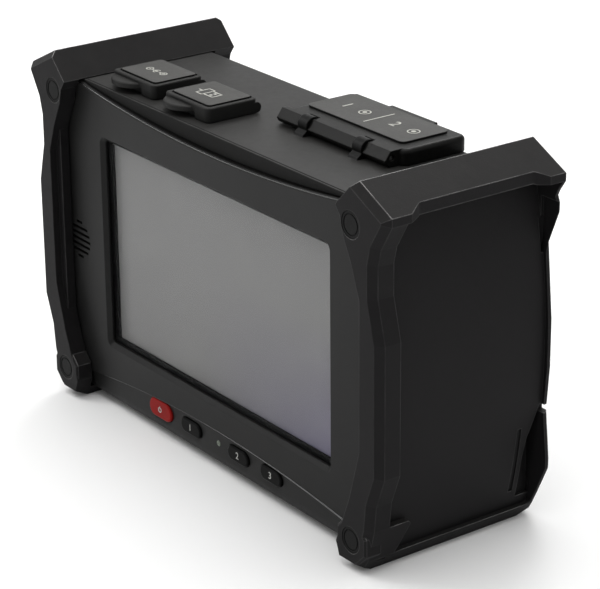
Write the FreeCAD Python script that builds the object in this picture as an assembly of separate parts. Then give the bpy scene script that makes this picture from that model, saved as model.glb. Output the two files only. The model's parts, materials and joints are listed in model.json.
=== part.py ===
import FreeCAD, Part
import math
import os
from FreeCAD import Vector

# Handheld optical time domain reflectometer, millimetres.
# X runs along the width, Y from the screen side to the back, Z up.
# The origin is under the middle of the two end bumpers, on the bench.

# ---- driving dimensions ------------------------------------------------
overallWidth = 216.0
overallHeight = 137.0
overallDepth = 76.0

tipX = overallWidth / 2
frontY = -overallDepth / 2
backY = overallDepth / 2

# housing, held between the bumpers
shellHalfWidth = tipX - 16.5
shellBottom = 3.7
shellTop = overallHeight - 10.0
shellFront = frontY + 10.0
shellBack = backY - 9.0
shellWall = 2.5
shellRound = 2.0
mouthRim = 4.7
mouthThick = 2.0
gasketThick = 0.5
gasketSet = 3.2
gasketWidth = 1.7

# front bezel
bezelHalfWidth = tipX - 12.8
bezelThick = 2.5
bezelEdgeBevel = 0.8
bezelCornerZ = 12.0
lipMiddleZ = shellTop - 6.6
lipArcRadius = 587.6
ridgeMiddleZ = 16.4
ridgeArcRadius = 583.8
ridgeStep = 0.5
stripTilt = 4.0
stripHalfWidth = tipX - 15.0
windowHalfWidth = shellHalfWidth - 23.0
windowBottom = 27.0
windowTop = shellTop - 19.8
windowRound = 1.5
windowBevel = 1.5
visorReach = 1.3
visorDrop = 4.0

# screen
glassMargin = 3.0
glassThick = 1.2
displayThick = 5.0
displayRim = 0.8
displayBorder = 1.5
displayPanelThick = 1.6
displayFit = 0.5
chassisThick = 1.2
chassisMargin = 7.5

# keys
keyRowZ = 11.3
keyPitch = 19.9
powerKeyLength = 14.5
powerKeyHeight = 7.2
keyLength = 12.6
keyHeight = 5.8
keyProud = 1.0
keyTravel = 0.8
keyClearance = 0.2
keyFlange = 0.9
keyLedge = 0.8
keyCrownRound = 0.7
keyPostX = 48.0
keyPostRadius = 1.8
keyBoardThick = 1.2
keyBoardHalf = 51.0
switchBody = 4.4
switchPlungerRadius = 1.2
switchPlunger = 0.5
switchHeight = 1.5
lightX = 2.0
lightRadius = 1.1
lightCollarRadius = 1.8
lightCollar = 0.6

# bumpers; flange outlines run from the foot up, as insets from the bumper's end
# with heights above the bench, then with drops below the roof
bumperFit = 0.3
frontLowOutline = ((23.0, 0.0), (14.8, 0.0), (11.9, 5.0), (8.5, 17.0), (7.5, 26.5), (3.2, 38.0))
frontHighOutline = ((3.2, 52.0), (7.0, 37.0), (7.0, 26.0), (5.5, 20.0), (0.0, 11.0), (0.0, 8.0),
                    (16.4, 0.0))
backLowOutline = ((23.0, 0.0), (14.8, 0.0), (11.9, 5.0), (9.3, 10.2), (4.3, 21.0), (4.3, 24.0),
                  (6.2, 41.7), (4.9, 58.0))
backHighOutline = ((4.9, 62.0), (7.5, 34.7), (2.6, 22.5), (2.6, 19.5), (3.6, 17.0), (2.4, 14.5),
                   (0.0, 11.0), (0.0, 8.0), (16.4, 0.0))
insideLowOutline = ((26.0, 8.0), (22.1, 17.8), (18.8, 26.5), (16.0, 36.0), (13.5, 45.0))
insideHighOutline = ((13.5, 39.0), (17.5, 28.0), (22.0, 19.0), (23.5, 13.0), (26.0, 9.7))
frontBevel = 2.6
backBevel = 1.6
sideBandInset = 12.0
sideBandSet = 3.0
sideBandLow = 12.0
sideBandDrop = 17.0
lipHeight = 5.0
lipRound = 2.0
beamSole = overallHeight - 9.5
beamTipDrop = 11.0
beamInset = 4.5
beamTipInset = 3.0
panelEndX = tipX - 13.5
panelMiddleX = tipX - 6.5
panelMiddleZ = (lipHeight + beamSole) / 2
panelReach = panelMiddleZ - lipHeight - 2.25
panelWall = 2.8
crushLow = 16.0
crushDrop = 21.0
crushFront = frontY + 16.0
crushBack = backY - 13.0
ribThick = 2.0
ribShares = (0.25, 0.5, 0.75)
recessFront = frontY + 9.0
recessBack = backY - 2.7
earThick = 1.5
earInset = 10.5
earLowDrop = 34.0
earHighDrop = 19.0
earRamp = 4.0
notchInset = 3.4
notchMouthFront = 5.5
notchMouthBack = 4.3
notchRound = 2.0
notchFront = frontY + 16.0
notchBack = backY - 12.4
footBevelHeight = 3.2
footBevelDepth = 6.0
strapGapBottom = 9.0
strapGapTop = 44.5
strapSlotBottom = 41.3
strapSlotInset = 10.0
panelGrooveLow = 12.0
panelGrooveHigh = 37.0
panelGrooveSet = 9.7
panelGrooveWide = 1.8
panelGrooveDeep = 0.6
strapGapInset = 14.5
strapGapDepths = (3.5, 7.8, 8.6)
strapGapBends = (32.0, 25.0)

# bumper fastening
fixingX = tipX - 18.0
fixingTopZ = shellTop - 4.5
fixingLowZ = 11.3
fixingRadius = 1.5
fixingHeadRadius = 2.9
fixingHeadHeight = 2.4
fixingLength = 12.0
fixingFit = 0.2
plugRadius = 4.7
plugThick = 2.4
plugSet = 0.2
plugFit = 0.05
plugGrooveOuter = 3.8
plugGrooveInner = 3.3
plugGrooveDeep = 0.3
bossRadius = 3.4
bossLength = 10.0
lugCentreZ = 10.8
lugRadius = 7.8
lugBevel = 0.8
lugSeatLow = 3.0
lugSeatTop = 17.0
lugSeatLowDepth = 13.0
lugSeatTopDepth = 18.7
lugSeatRound = 1.5

# case screws
caseScrewX = tipX - 28.0
caseScrewLowZ = 20.0
caseScrewTopZ = shellTop - 14.5
caseBossRadius = 3.2
caseScrewRadius = 1.5
caseHeadRadius = 2.7
caseHeadSeat = 2.0
caseThreadSkin = 0.6

# port covers
portSplit = 27.1 / 57.0
coverWidth = 27.4
coverFrontMargin = 4.3
coverHeight = 5.3
coverFloat = 0.15
coverTopSetback = 1.3
powerCoverX = -57.5
usbCoverX = -23.5
coverPlugMargin = 3.0
coverPlugSetback = 6.3
coverPlugDepth = 2.0
coverPlugFit = 0.45
coverPlugRound = 1.2
coverRound = 2.2
coverTopRound = 0.6
coverWall = 1.6
coverLabelInset = 1.8
coverLabelSetback = 2.1
coverLabelThick = 0.5
coverLabelRound = 1.5
thumbTabSide = 0.4
thumbTabLength = 18.6
thumbTabReach = 4.8
thumbTabThick = 1.9
thumbTabLift = 2.2
thumbTabRoot = 2.4
thumbTabRound = 0.7
scoopDepth = 1.4
coverHingeRadius = 1.95
coverHingePin = 0.7
coverPinInset = 3.0
anchorWidth = 8.0
anchorRoom = 0.35
anchorSide = 0.3
anchorHalfDepth = 1.3
anchorSink = 2.5

# fibre lid
lidLeft = 4.5
lidRight = 65.0
lidBodyLeft = 8.0
lidBodyRight = 67.5
lidFloat = 0.2
lidHeight = 5.5
lidWall = 2.0
lidCeiling = 1.8
lidRound = 3.0
lidTopRound = 1.6
lidNeck = 3.0
lidFacetFront = 2.9
lidFacetTop = 0.6
lidInnerSetback = 6.0
lidHingeSetback = 3.0
hingeRadius = 3.0
knuckleRadius = 3.25
knuckleWidth = 5.0
knuckleLeftX = 17.0
knuckleRightX = 47.5
knuckleGap = 0.25
knuckleRoom = 0.35
knuckleFoot = 5.0
pinRadius = 1.0
pinFit = 0.05
lidLabelLeft = 8.5
lidLabelRight = 61.8
lidLabelSetFront = 3.9
lidLabelSetBack = 3.2
lidLabelThick = 0.7
lidLabelRound = 2.2
lidTabMiddle = 37.3
lidTabHalf = 12.2
lidTabReach = 2.0
lidTabLow = 3.4
lidTabHigh = 0.5

# fibre ports
portWellLeft = 9.0
portWellRight = 60.5
portWellInset = 3.3
portWellBackInset = 3.8
portWellWall = 1.8
portWellRound = 2.0
portPlateTop = shellTop - 15.0
portPlateThick = 1.5
otdrPortX = 21.6
faultPortX = 47.9
ferruleRadius = 1.26
ferruleDepth = 8.0
adapterTopZ = shellTop - 4.7
adapterFlange = 13.0
adapterFlangeThick = 2.0
adapterFlangeRound = 1.5
adapterRadius = 4.0
adapterTailRadius = 4.4
adapterRingOuter = 3.3
adapterRingInner = 2.0
adapterRingDeep = 7.0
adapterKeyway = 2.0
adapterKeywayDeep = 4.0
adapterScrewInset = 1.7
adapterScrewRadius = 1.0
adapterScrewHead = 1.7
adapterScrewHeadHigh = 1.0
sealGap = 0.3
sealRadius = 5.2

# boards, module and battery
standoffHeight = 5.0
standoffRadius = 2.5
boardThick = 1.6
boardHalfWidth = shellHalfWidth - 17.5
boardLow = 19.0
boardTop = shellTop - 20.0
boardScrewSide = 8.0
boardScrewEnd = 4.5
boardScrewHead = 2.2
boardScrewHigh = 1.2
portBoardTop = shellTop - 16.0
portBoardLeft = -shellHalfWidth + 15.2
portBoardRight = -5.5
portBoardPostRadius = 2.4
socketTopGap = 1.0
jackOffset = -4.6
jackHalf = 4.6
jackHalfDepth = 5.5
jackBore = 2.9
jackPin = 1.0
jackDeep = 11.0
serviceOffset = 5.6
serviceHalf = 4.0
serviceHalfDepth = 2.6
serviceWall = 0.5
serviceWallDepth = 1.0
serviceDeep = 8.0
usbHalf = 6.7
usbWall = 0.5
usbMargin = 0.15
usbSlotShare = 0.362
usbDeep = 11.0
usbTongueHalf = 5.4
usbTongueThick = 1.4
usbTongueSet = 0.6
usbTongueLength = 5.0
moduleLeft = 16.0
moduleRight = shellHalfWidth - 19.5
moduleBottom = 42.0
moduleTop = shellTop - 23.0
moduleDepth = 25.0
packLeft = -shellHalfWidth + 21.9
packRight = 9.6
packBottom = 24.4
packTop = shellTop - 23.4
packSet = 25.5
packThick = 21.5
packRound = 2.0
packFit = 0.4
wellWall = 1.8
ledgeThick = 3.0
ledgeWidth = 1.0
doorMargin = 4.0
doorThick = 2.0
doorFit = 0.2
doorRound = 3.0
doorRibThick = 1.6
doorRibInset = 6.0
doorRibShares = (0.2, 0.5, 0.8)
doorScrewRadius = 1.0
doorScrewHead = 1.8
doorScrewLength = 2.5
connectorLeft = -42.0
connectorRight = -20.0
connectorHigh = 8.0
connectorDrop = 7.6
speakerInset = 5.2
speakerWide = 12.8
speakerThick = 4.5
speakerTall = 16.6
speakerRound = 2.0
grilleInset = 4.5
grilleDrop = 73.7
grilleRadius = 7.2
grillePitch = 2.3
grilleSlotHigh = 1.0
grilleSlotDeep = 1.5
grilleRows = 7

# ---- places worked out from the sizes ----------------------------------
bezelBack = shellFront - gasketThick
bezelFront = bezelBack - bezelThick
grilleX = -shellHalfWidth + grilleInset
grilleZ = overallHeight - grilleDrop
glassBack = bezelBack + glassThick
displayBack = glassBack + displayThick
chassisBack = displayBack + chassisThick
mainBoardFront = chassisBack + standoffHeight
mainBoardBack = mainBoardFront + boardThick
innerBack = shellBack - shellWall
innerTop = shellTop - shellWall
innerBottom = shellBottom + shellWall
stripSlope = math.tan(math.radians(stripTilt))

coverBackY = shellFront + portSplit * (shellBack - shellFront)
coverFrontY = shellFront + coverFrontMargin
coverBottom = shellTop + coverFloat
coverTop = coverBottom + coverHeight
coverPlugFront = coverFrontY + coverPlugMargin
coverPlugBack = coverBackY - coverPlugSetback
socketMiddle = (coverPlugFront + coverPlugBack) / 2
usbHalfDepth = (coverPlugBack - coverPlugFront) / 2 + usbMargin
coverHingeY = coverBackY - coverHingeRadius
coverHingeZ = coverBottom + coverHingeRadius
coverPinHalf = coverWidth / 2 - coverPinInset

lidBodyFront = coverBackY + 2.4
lidBack = shellBack
lidBottom = shellTop + lidFloat
lidTop = lidBottom + lidHeight
hingeY = lidBodyFront - lidHingeSetback
hingeZ = lidBottom + hingeRadius
portWellFront = lidBodyFront + portWellInset
portWellBack = shellBack - portWellBackInset
portY = (portWellFront + portWellBack) / 2

keyBack = bezelBack + keyFlange
switchTip = keyBack + keyTravel + 0.1
keyBoardFront = switchTip + switchPlunger + switchHeight
keyBoardBack = keyBoardFront + keyBoardThick

packFront = shellBack - packSet
moduleFront = shellBack - moduleDepth
doorFront = shellBack - doorThick
wellLeft, wellRight = packLeft - packFit, packRight + packFit
wellLow, wellHigh = packBottom - packFit, packTop + packFit

fixingHeights = (fixingLowZ, fixingTopZ)
caseScrewPlaces = [(x, z) for x in (-caseScrewX, caseScrewX) for z in (caseScrewLowZ, caseScrewTopZ)]

os.makedirs("parts", exist_ok=True)


# ---- helpers -----------------------------------------------------------
def block(x0, x1, y0, y1, z0, z1):
    return Part.makeBox(x1 - x0, y1 - y0, z1 - z0, Vector(x0, y0, z0))


def rodY(x, z, radius, y0, y1):
    return Part.makeCylinder(radius, y1 - y0, Vector(x, y0, z), Vector(0, 1, 0))


def rodZ(x, y, radius, z0, z1):
    return Part.makeCylinder(radius, z1 - z0, Vector(x, y, z0), Vector(0, 0, 1))


def rodX(y, z, radius, x0, x1):
    return Part.makeCylinder(radius, x1 - x0, Vector(x0, y, z), Vector(1, 0, 0))


def outlineEdges(points, place):
    """Straight and round edges; a pair of points is an arc through the first."""
    edges = []
    start = place(*points[0])
    for item in points[1:] + points[:1]:
        if isinstance(item[0], tuple):
            middle, end = place(*item[0]), place(*item[1])
            edges.append(Part.Arc(start, middle, end).toShape())
        else:
            end = place(*item)
            if not end.isEqual(start, 0.001):
                edges.append(Part.LineSegment(start, end).toShape())
        start = end
    return edges


def prism(points, place, sweep):
    wire = Part.Wire(outlineEdges(points, place))
    return Part.Face(wire).extrude(sweep)


def prismXZ(points, y0, y1):
    return prism(points, lambda x, z: Vector(x, y0, z), Vector(0, y1 - y0, 0))


def prismYZ(points, x0, x1):
    return prism(points, lambda y, z: Vector(x0, y, z), Vector(x1 - x0, 0, 0))


def union(shapes):
    return shapes[0].multiFuse(shapes[1:]).removeSplitter() if len(shapes) > 1 else shapes[0]


def roundEdges(shape, radius, wanted):
    return shape.makeFillet(radius, [edge for edge in shape.Edges if wanted(edge)])


def bevelEdges(shape, size, wanted):
    return shape.makeChamfer(size, [edge for edge in shape.Edges if wanted(edge)])


def runsAlong(edge, axis):
    if not isinstance(edge.Curve, (Part.Line, Part.LineSegment)):
        return False
    direction = edge.Curve.Direction
    return abs(getattr(direction, axis)) > 0.999


def flatAt(edge, axis, place):
    box = edge.BoundBox
    low, high = getattr(box, axis + "Min"), getattr(box, axis + "Max")
    return abs(low - place) < 0.01 and abs(high - place) < 0.01


def roundedBlock(x0, x1, y0, y1, z0, z1, radius, axis):
    """A block whose four edges along the axis are rounded."""
    return roundEdges(block(x0, x1, y0, y1, z0, z1), radius, lambda edge: runsAlong(edge, axis))


def mirrored(shape):
    return shape.mirror(Vector(0, 0, 0), Vector(1, 0, 0))


def save(name, shape):
    shape.exportStep("parts/" + name + ".step")


def arcHeight(x, middleZ, radius):
    """Height of an arch line at x; the line is lowest in the middle for a positive radius."""
    return middleZ + radius - math.copysign(math.sqrt(radius ** 2 - x ** 2), radius)


# ---- bumpers -----------------------------------------------------------
def flangePoints(low, high):
    """Points from the foot up, measured in from the end, up from the bench and down from the roof."""
    return [(tipX - inset, z) for inset, z in low] + [(tipX - inset, overallHeight - drop)
                                                      for inset, drop in high]


def flangeOutline(low, high):
    """Outer edge of a flange and back down its inner edge beside the bezel."""
    return flangePoints(low, high) + flangePoints(insideLowOutline, insideHighOutline)[::-1]


def panelRadius():
    sagitta = panelMiddleX - panelEndX
    return (panelReach ** 2 + sagitta ** 2) / (2 * sagitta)


def panelX(z, inset=0.0):
    """Face of the bulged end panel: a circle bulging outward in the middle of the height."""
    radius = panelRadius() - inset
    centre = panelMiddleX - panelRadius()
    return centre + math.sqrt(radius ** 2 - (z - panelMiddleZ) ** 2)


def gripRecess():
    """Hollow outside the end panel, between the flanges and under the roof beam."""
    outside = tipX + 5
    tipZ = overallHeight - beamTipDrop
    profile = [(outside, lipHeight), (panelX(lipHeight), lipHeight),
               ((panelMiddleX, panelMiddleZ), (panelX(beamSole), beamSole)),
               (tipX - beamInset, beamSole), (tipX - beamTipInset, tipZ), (outside, tipZ)]
    hollow = prismXZ(profile, recessFront, recessBack)
    hollow = roundEdges(hollow, lipRound, lambda edge: flatAt(edge, "Z", lipHeight) and runsAlong(edge, "x"))
    return hollow.cut(lugSeat())


def panelGroove():
    """Shallow upright groove low on the end panel, beside the strap gap."""
    outside, front = tipX + 5, recessBack - panelGrooveSet
    middle = (panelGrooveLow + panelGrooveHigh) / 2
    low, high, between = [panelX(z) - panelGrooveDeep for z in (panelGrooveLow, panelGrooveHigh, middle)]
    profile = [(outside, panelGrooveLow), (low, panelGrooveLow), ((between, middle), (high, panelGrooveHigh)),
               (outside, panelGrooveHigh)]
    return prismXZ(profile, front, front + panelGrooveWide)


def lugSeat():
    """Solid corner behind the lower front screw, leaning back toward its top."""
    front = recessFront - 5
    seat = prismYZ([(front, lugSeatLow), (frontY + lugSeatLowDepth, lugSeatLow),
                    (frontY + lugSeatTopDepth, lugSeatTop), (front, lugSeatTop)], fixingX, tipX + 5)
    return roundEdges(seat, lugSeatRound, lambda edge: runsAlong(edge, "x")
                      and flatAt(edge, "Y", frontY + lugSeatTopDepth))


def roofNotch():
    """Shallow hand hold along the middle of the roof beam, with slanted ends."""
    floor, outside = tipX - notchInset, tipX + 5
    mouthFront, mouthBack = notchFront - notchMouthFront, notchBack + notchMouthBack
    points = [(outside, mouthFront), (tipX, mouthFront), (floor, notchFront), (floor, notchBack),
              (tipX, mouthBack), (outside, mouthBack)]
    low = beamSole - 8
    notch = prism(points, lambda x, y: Vector(x, y, low), Vector(0, 0, overallHeight + 5 - low))
    return roundEdges(notch, notchRound, lambda edge: runsAlong(edge, "z")
                      and abs(edge.BoundBox.Center.x - floor) < 0.1)


def strapRecess():
    """Gap between the end panel and the rear flange, widening downward, and its slot to the back."""
    outside = tipX + 5
    shallow, deep, deepest = [backY - depth for depth in strapGapDepths]
    highBend, lowBend = strapGapBends
    gap = prismYZ([(recessBack, strapGapBottom), (recessBack, strapGapTop), (shallow, strapGapTop),
                   (deep, highBend), (deepest, lowBend), (deepest, strapGapBottom)],
                  tipX - strapGapInset, outside)
    slot = block(tipX - strapSlotInset, outside, recessBack - 0.5, backY + 1, strapSlotBottom, strapGapTop)
    return [gap, slot]


def rearEar():
    """Thins the upper lobe of the rear flange from its inner side."""
    low, high = overallHeight - earLowDrop, overallHeight - earHighDrop
    return prismYZ([(recessBack - 1, low - earRamp), (recessBack, low - earRamp), (backY - earThick, low),
                    (backY - earThick, high), (recessBack - 1, high + 1)], tipX - earInset, tipX + 5)


def footBevels():
    """Slanted front and back ends of the foot."""
    shapes = []
    for face, inward in ((frontY, 1), (backY, -1)):
        outside = face - inward
        shapes.append(prismYZ([(outside, -1), (outside, footBevelHeight), (face, footBevelHeight),
                               (face + inward * footBevelDepth, 0), (face + inward * footBevelDepth, -1)],
                              shellHalfWidth / 2, tipX))
    return shapes


def hollowBehindPanel():
    """Crush space behind the bulged panel, divided by three ribs."""
    start = shellHalfWidth + bumperFit
    low, high = crushLow, overallHeight - crushDrop
    profile = [(start, low), (panelX(low, panelWall), low),
               ((panelX(panelMiddleZ, panelWall), panelMiddleZ), (panelX(high, panelWall), high)),
               (start, high)]
    space = prismXZ(profile, crushFront, crushBack)
    middles = [low + share * (high - low) for share in ribShares]
    ribs = [block(start - 1, tipX, crushFront - 1, crushBack + 1, z - ribThick / 2, z + ribThick / 2)
            for z in middles]
    return space.cut(union(ribs))


def lug():
    """Eight-sided boss round the lower front screw."""
    half = math.pi / 8
    reach = lugRadius / math.cos(half)
    corners = [(fixingX + reach * math.cos(half * (2 * step + 1)),
                lugCentreZ + reach * math.sin(half * (2 * step + 1))) for step in range(8)]
    return bevelEdges(prismXZ(corners, frontY, bezelFront - bumperFit), lugBevel,
                      lambda edge: flatAt(edge, "Y", frontY))


def fixingHoles():
    """Plug pocket, head seat and clearance hole at each corner, front and back."""
    tools = []
    seat = plugThick + plugSet
    stages = ((plugRadius + plugFit, 0, seat),
              (fixingHeadRadius + fixingFit, 0, seat + fixingHeadHeight),
              (fixingRadius + fixingFit, 0, fixingLength))
    for z in fixingHeights:
        for face, inward in ((frontY, 1), (backY, -1)):
            for radius, start, depth in stages:
                ends = sorted((face + inward * start - inward, face + inward * depth))
                tools.append(rodY(fixingX, z, radius, ends[0], ends[1]))
    return tools


def onOutside(edge):
    """True for the edges of a flange that face away from the housing."""
    centre = edge.BoundBox.Center
    return centre.x > tipX - 13 or centre.z < 3


def bumperBody():
    front = prismXZ(flangeOutline(frontLowOutline, frontHighOutline), frontY, 0)
    front = bevelEdges(front, frontBevel, lambda edge: flatAt(edge, "Y", frontY) and onOutside(edge))
    back = prismXZ(flangeOutline(backLowOutline, backHighOutline), 0, backY)
    back = bevelEdges(back, backBevel, lambda edge: flatAt(edge, "Y", backY) and onOutside(edge))
    side = block(shellHalfWidth, tipX - sideBandInset, frontY + sideBandSet, backY - sideBandSet,
                 sideBandLow, overallHeight - sideBandDrop)
    solid = union([front, back, side, lug()])
    deep, roomX = shellHalfWidth / 2, shellHalfWidth + bumperFit
    room = block(deep, roomX, bezelFront - bumperFit, shellBack + bumperFit,
                 shellBottom - bumperFit, shellTop + bumperFit)
    groove = block(deep, bezelHalfWidth + bumperFit, bezelFront - bumperFit, shellFront + bumperFit,
                   shellBottom - bumperFit, shellTop + bumperFit)
    bosses = [rodY(fixingX, z, bossRadius + bumperFit, y0, y1)
              for z in fixingHeights
              for y0, y1 in ((shellFront - 1, shellFront + bossLength + bumperFit),
                             (shellBack - bossLength - bumperFit, shellBack + bumperFit))]
    tools = [room, groove, hollowBehindPanel(), gripRecess(), panelGroove(), roofNotch(), rearEar()]
    for tool in tools + strapRecess() + bosses + fixingHoles() + footBevels():
        solid = solid.cut(tool)
    return solid.removeSplitter()


def fixingScrew(z, face, inward):
    top = face + inward * (plugThick + plugSet)
    head = top + inward * fixingHeadHeight
    tip = head + inward * fixingLength
    headRod = rodY(fixingX, z, fixingHeadRadius, min(head, top), max(head, top))
    shank = rodY(fixingX, z, fixingRadius, min(head, tip), max(head, tip))
    return headRod.fuse(shank).removeSplitter()


def screwPlug(z, face, inward):
    outer = face + inward * plugSet
    inner = outer + inward * plugThick
    plug = rodY(fixingX, z, plugRadius, min(outer, inner), max(outer, inner))
    ring = rodY(fixingX, z, plugGrooveOuter, outer - plugGrooveDeep, outer + plugGrooveDeep)
    ring = ring.cut(rodY(fixingX, z, plugGrooveInner, outer - 1, outer + 1))
    return plug.cut(ring)


def bumperPieces():
    right = bumperBody()
    save("right_bumper", right)
    save("left_bumper", mirrored(right))
    screws, plugs = [], []
    for z in fixingHeights:
        for face, inward in ((frontY, 1), (backY, -1)):
            screws.append(fixingScrew(z, face, inward))
            plugs.append(screwPlug(z, face, inward))
    save("bumper_screws", Part.makeCompound(screws + [mirrored(one) for one in screws]))
    save("bumper_screw_plugs", Part.makeCompound(plugs + [mirrored(one) for one in plugs]))


# ---- front bezel -------------------------------------------------------
def lipCrossing():
    """Where the dipping lip line reaches the height of the shell top."""
    rise = shellTop - lipMiddleZ
    return math.sqrt(lipArcRadius ** 2 - (lipArcRadius - rise) ** 2)


def underLip(y0, y1, lower=0.0):
    """Everything below the lip line, as wide as the bezel."""
    across, half, foot = lipCrossing(), bezelHalfWidth, shellHalfWidth - 1.5
    return prismXZ([(-half, bezelCornerZ), (-foot, shellBottom), (foot, shellBottom), (half, bezelCornerZ),
                    (half, shellTop - lower), (across, shellTop - lower),
                    ((0, lipMiddleZ - lower), (-across, shellTop - lower)),
                    (-half, shellTop - lower)], y0, y1)


def keyPlaces():
    """Centre, length and height of each oval key, from left to right."""
    return [("power_key", -1.75 * keyPitch, powerKeyLength, powerKeyHeight),
            ("function_key_1", -0.75 * keyPitch, keyLength, keyHeight),
            ("function_key_2", 0.75 * keyPitch, keyLength, keyHeight),
            ("function_key_3", 1.75 * keyPitch, keyLength, keyHeight)]


def oval(x, length, height, y0, y1):
    """Flat-sided oval bar along Y."""
    half, radius = length / 2 - height / 2, height / 2
    low, high = keyRowZ - radius, keyRowZ + radius
    return prismXZ([(x - half, low), (x + half, low), ((x + half + radius, keyRowZ), (x + half, high)),
                    (x - half, high), ((x - half - radius, keyRowZ), (x - half, low))], y0, y1)


def stripY(z):
    """Front face of the key strip, leaning back below the ridge."""
    return bezelFront + ridgeStep + (ridgeMiddleZ - z) * stripSlope


def grilleSlots():
    """Seven blind slots filling a circle in front of the speaker; the web behind them stays sealed."""
    slots = []
    for row in range(grilleRows):
        rise = (row - (grilleRows - 1) / 2) * grillePitch
        reach, z = math.sqrt(grilleRadius ** 2 - rise ** 2), grilleZ + rise
        slots.append(block(grilleX - reach, grilleX + reach, bezelFront - 1, bezelFront + grilleSlotDeep,
                           z - grilleSlotHigh / 2, z + grilleSlotHigh / 2))
    return slots


def frontBezel():
    plate = underLip(bezelFront, bezelBack)
    plate = bevelEdges(plate, bezelEdgeBevel, lambda edge: flatAt(edge, "Y", bezelFront)
                       and edge.BoundBox.ZMin > lipMiddleZ - 1 and edge.BoundBox.XLength > shellHalfWidth / 2)
    opening = roundedBlock(-windowHalfWidth, windowHalfWidth, bezelFront - 1, bezelBack + 1,
                           windowBottom, windowTop, windowRound, "y")
    plate = plate.cut(opening)
    plate = bevelEdges(plate, windowBevel, lambda edge: flatAt(edge, "Y", bezelFront)
                       and abs(edge.BoundBox.Center.x) < windowHalfWidth + 0.1
                       and windowBottom - 0.1 < edge.BoundBox.Center.z < windowTop + 0.1)
    end, ridgeEnd = stripHalfWidth, arcHeight(stripHalfWidth, ridgeMiddleZ, -ridgeArcRadius)
    below = prismXZ([(-end, -2), (end, -2), (end, ridgeEnd), ((0, ridgeMiddleZ), (-end, ridgeEnd))],
                    bezelFront - 1, bezelBack)
    before = prismYZ([(bezelFront - 2, -2), (stripY(-2), -2), (stripY(20), 20), (bezelFront - 2, 20)],
                     -end, end)
    plate = plate.cut(below.common(before))
    bosses = [rodY(x, z, caseBossRadius, bezelBack, displayBack) for x, z in caseScrewPlaces]
    posts = [rodY(x, keyRowZ, keyPostRadius, bezelBack, keyBoardFront) for x in (-keyPostX, keyPostX)]
    plate = union([plate] + bosses + posts)
    tools = [rodY(x, z, caseScrewRadius, bezelBack + caseThreadSkin, displayBack + 1)
             for x, z in caseScrewPlaces]
    tools += [oval(x, length + 2 * keyClearance, height + 2 * keyClearance, bezelFront - 2, bezelBack + 1)
              for name, x, length, height in keyPlaces()]
    tools += [rodY(side * fixingX, z, fixingRadius + fixingFit, bezelFront - 1, bezelBack + 1)
              for side in (-1, 1) for z in fixingHeights]
    tools += [rodY(lightX, keyRowZ, lightRadius, bezelFront - 1, bezelBack + 1)] + grilleSlots()
    for tool in tools:
        plate = plate.cut(tool)
    return plate


# ---- keys and what is behind them --------------------------------------
def key(x, length, height):
    crown = stripY(keyRowZ) - keyProud
    cap = oval(x, length, height, crown, bezelBack)
    cap = roundEdges(cap, keyCrownRound, lambda edge: flatAt(edge, "Y", crown))
    flange = oval(x, length + 2 * keyLedge, height + 2 * keyLedge, bezelBack, keyBack)
    return union([cap, flange])


def keyPieces():
    switches, half = [], switchBody / 2
    plungerBack = switchTip + switchPlunger
    for name, x, length, height in keyPlaces():
        save(name, key(x, length, height))
        body = block(x - half, x + half, plungerBack, keyBoardFront, keyRowZ - half, keyRowZ + half)
        switches.append(union([body, rodY(x, keyRowZ, switchPlungerRadius, switchTip, plungerBack)]))
    save("key_switches", Part.makeCompound(switches))
    save("key_board", block(-keyBoardHalf, keyBoardHalf, keyBoardFront, keyBoardBack,
                            innerBottom + 0.5, ridgeMiddleZ - 0.4))
    pipe = rodY(lightX, keyRowZ, lightRadius, stripY(keyRowZ) - 0.1, keyBoardFront)
    save("status_light_pipe", union([pipe, rodY(lightX, keyRowZ, lightCollarRadius, bezelBack,
                                                bezelBack + lightCollar)]))


# ---- housing: rear shell, connector panel, well and battery tray -------
def housingBlock():
    body = block(-shellHalfWidth, shellHalfWidth, shellFront, shellBack, shellBottom, shellTop)
    return roundEdges(body, shellRound, lambda edge: flatAt(edge, "Y", shellBack))


def abovePanelSeam():
    wide = fixingX + bossRadius + 1
    return block(-wide, wide, shellFront - 1, shellBack + 1, innerTop, shellTop + 1)


def visor():
    """Front edge of the panel, standing a little over the bezel with an undercut face below it."""
    profile = [(shellFront, lipMiddleZ - visorDrop), (shellFront - visorReach, shellTop - 1),
               (shellFront - visorReach + 0.3, shellTop), (shellFront + 1, shellTop),
               (shellFront + 1, innerTop), (shellFront, innerTop)]
    nose = prismYZ(profile, -shellHalfWidth, shellHalfWidth)
    return nose.cut(underLip(bezelFront - 1, shellFront, -bumperFit))


def knuckle(x):
    """Fixed hinge ring standing on a foot that spreads toward the screen side."""
    front, back = hingeY - knuckleFoot, hingeY + 1
    foot = prismYZ([(front, shellTop), (front + 0.5, shellTop + 0.9), (hingeY - 2.6, shellTop + 2.4),
                    (hingeY, hingeZ), (back, shellTop)], x, x + knuckleWidth)
    root = block(x, x + knuckleWidth, front, back, innerTop + 1, shellTop)
    return union([foot.fuse(root), rodX(hingeY, hingeZ, knuckleRadius, x, x + knuckleWidth)])


def coverWells():
    """Openings in the panel for the plugs and the hinge roots of the two port covers."""
    wells = []
    for x in (powerCoverX, usbCoverX):
        wells.append(plugShape(x, coverPlugFit, innerTop - 2, shellTop + 2))
        wells.append(anchorRoot(x, shellTop + 1))
    return wells


def wellRoom():
    return roundedBlock(portWellLeft, portWellRight, portWellFront, portWellBack,
                        portPlateTop - 1, shellTop + 1, portWellRound, "z")


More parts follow.
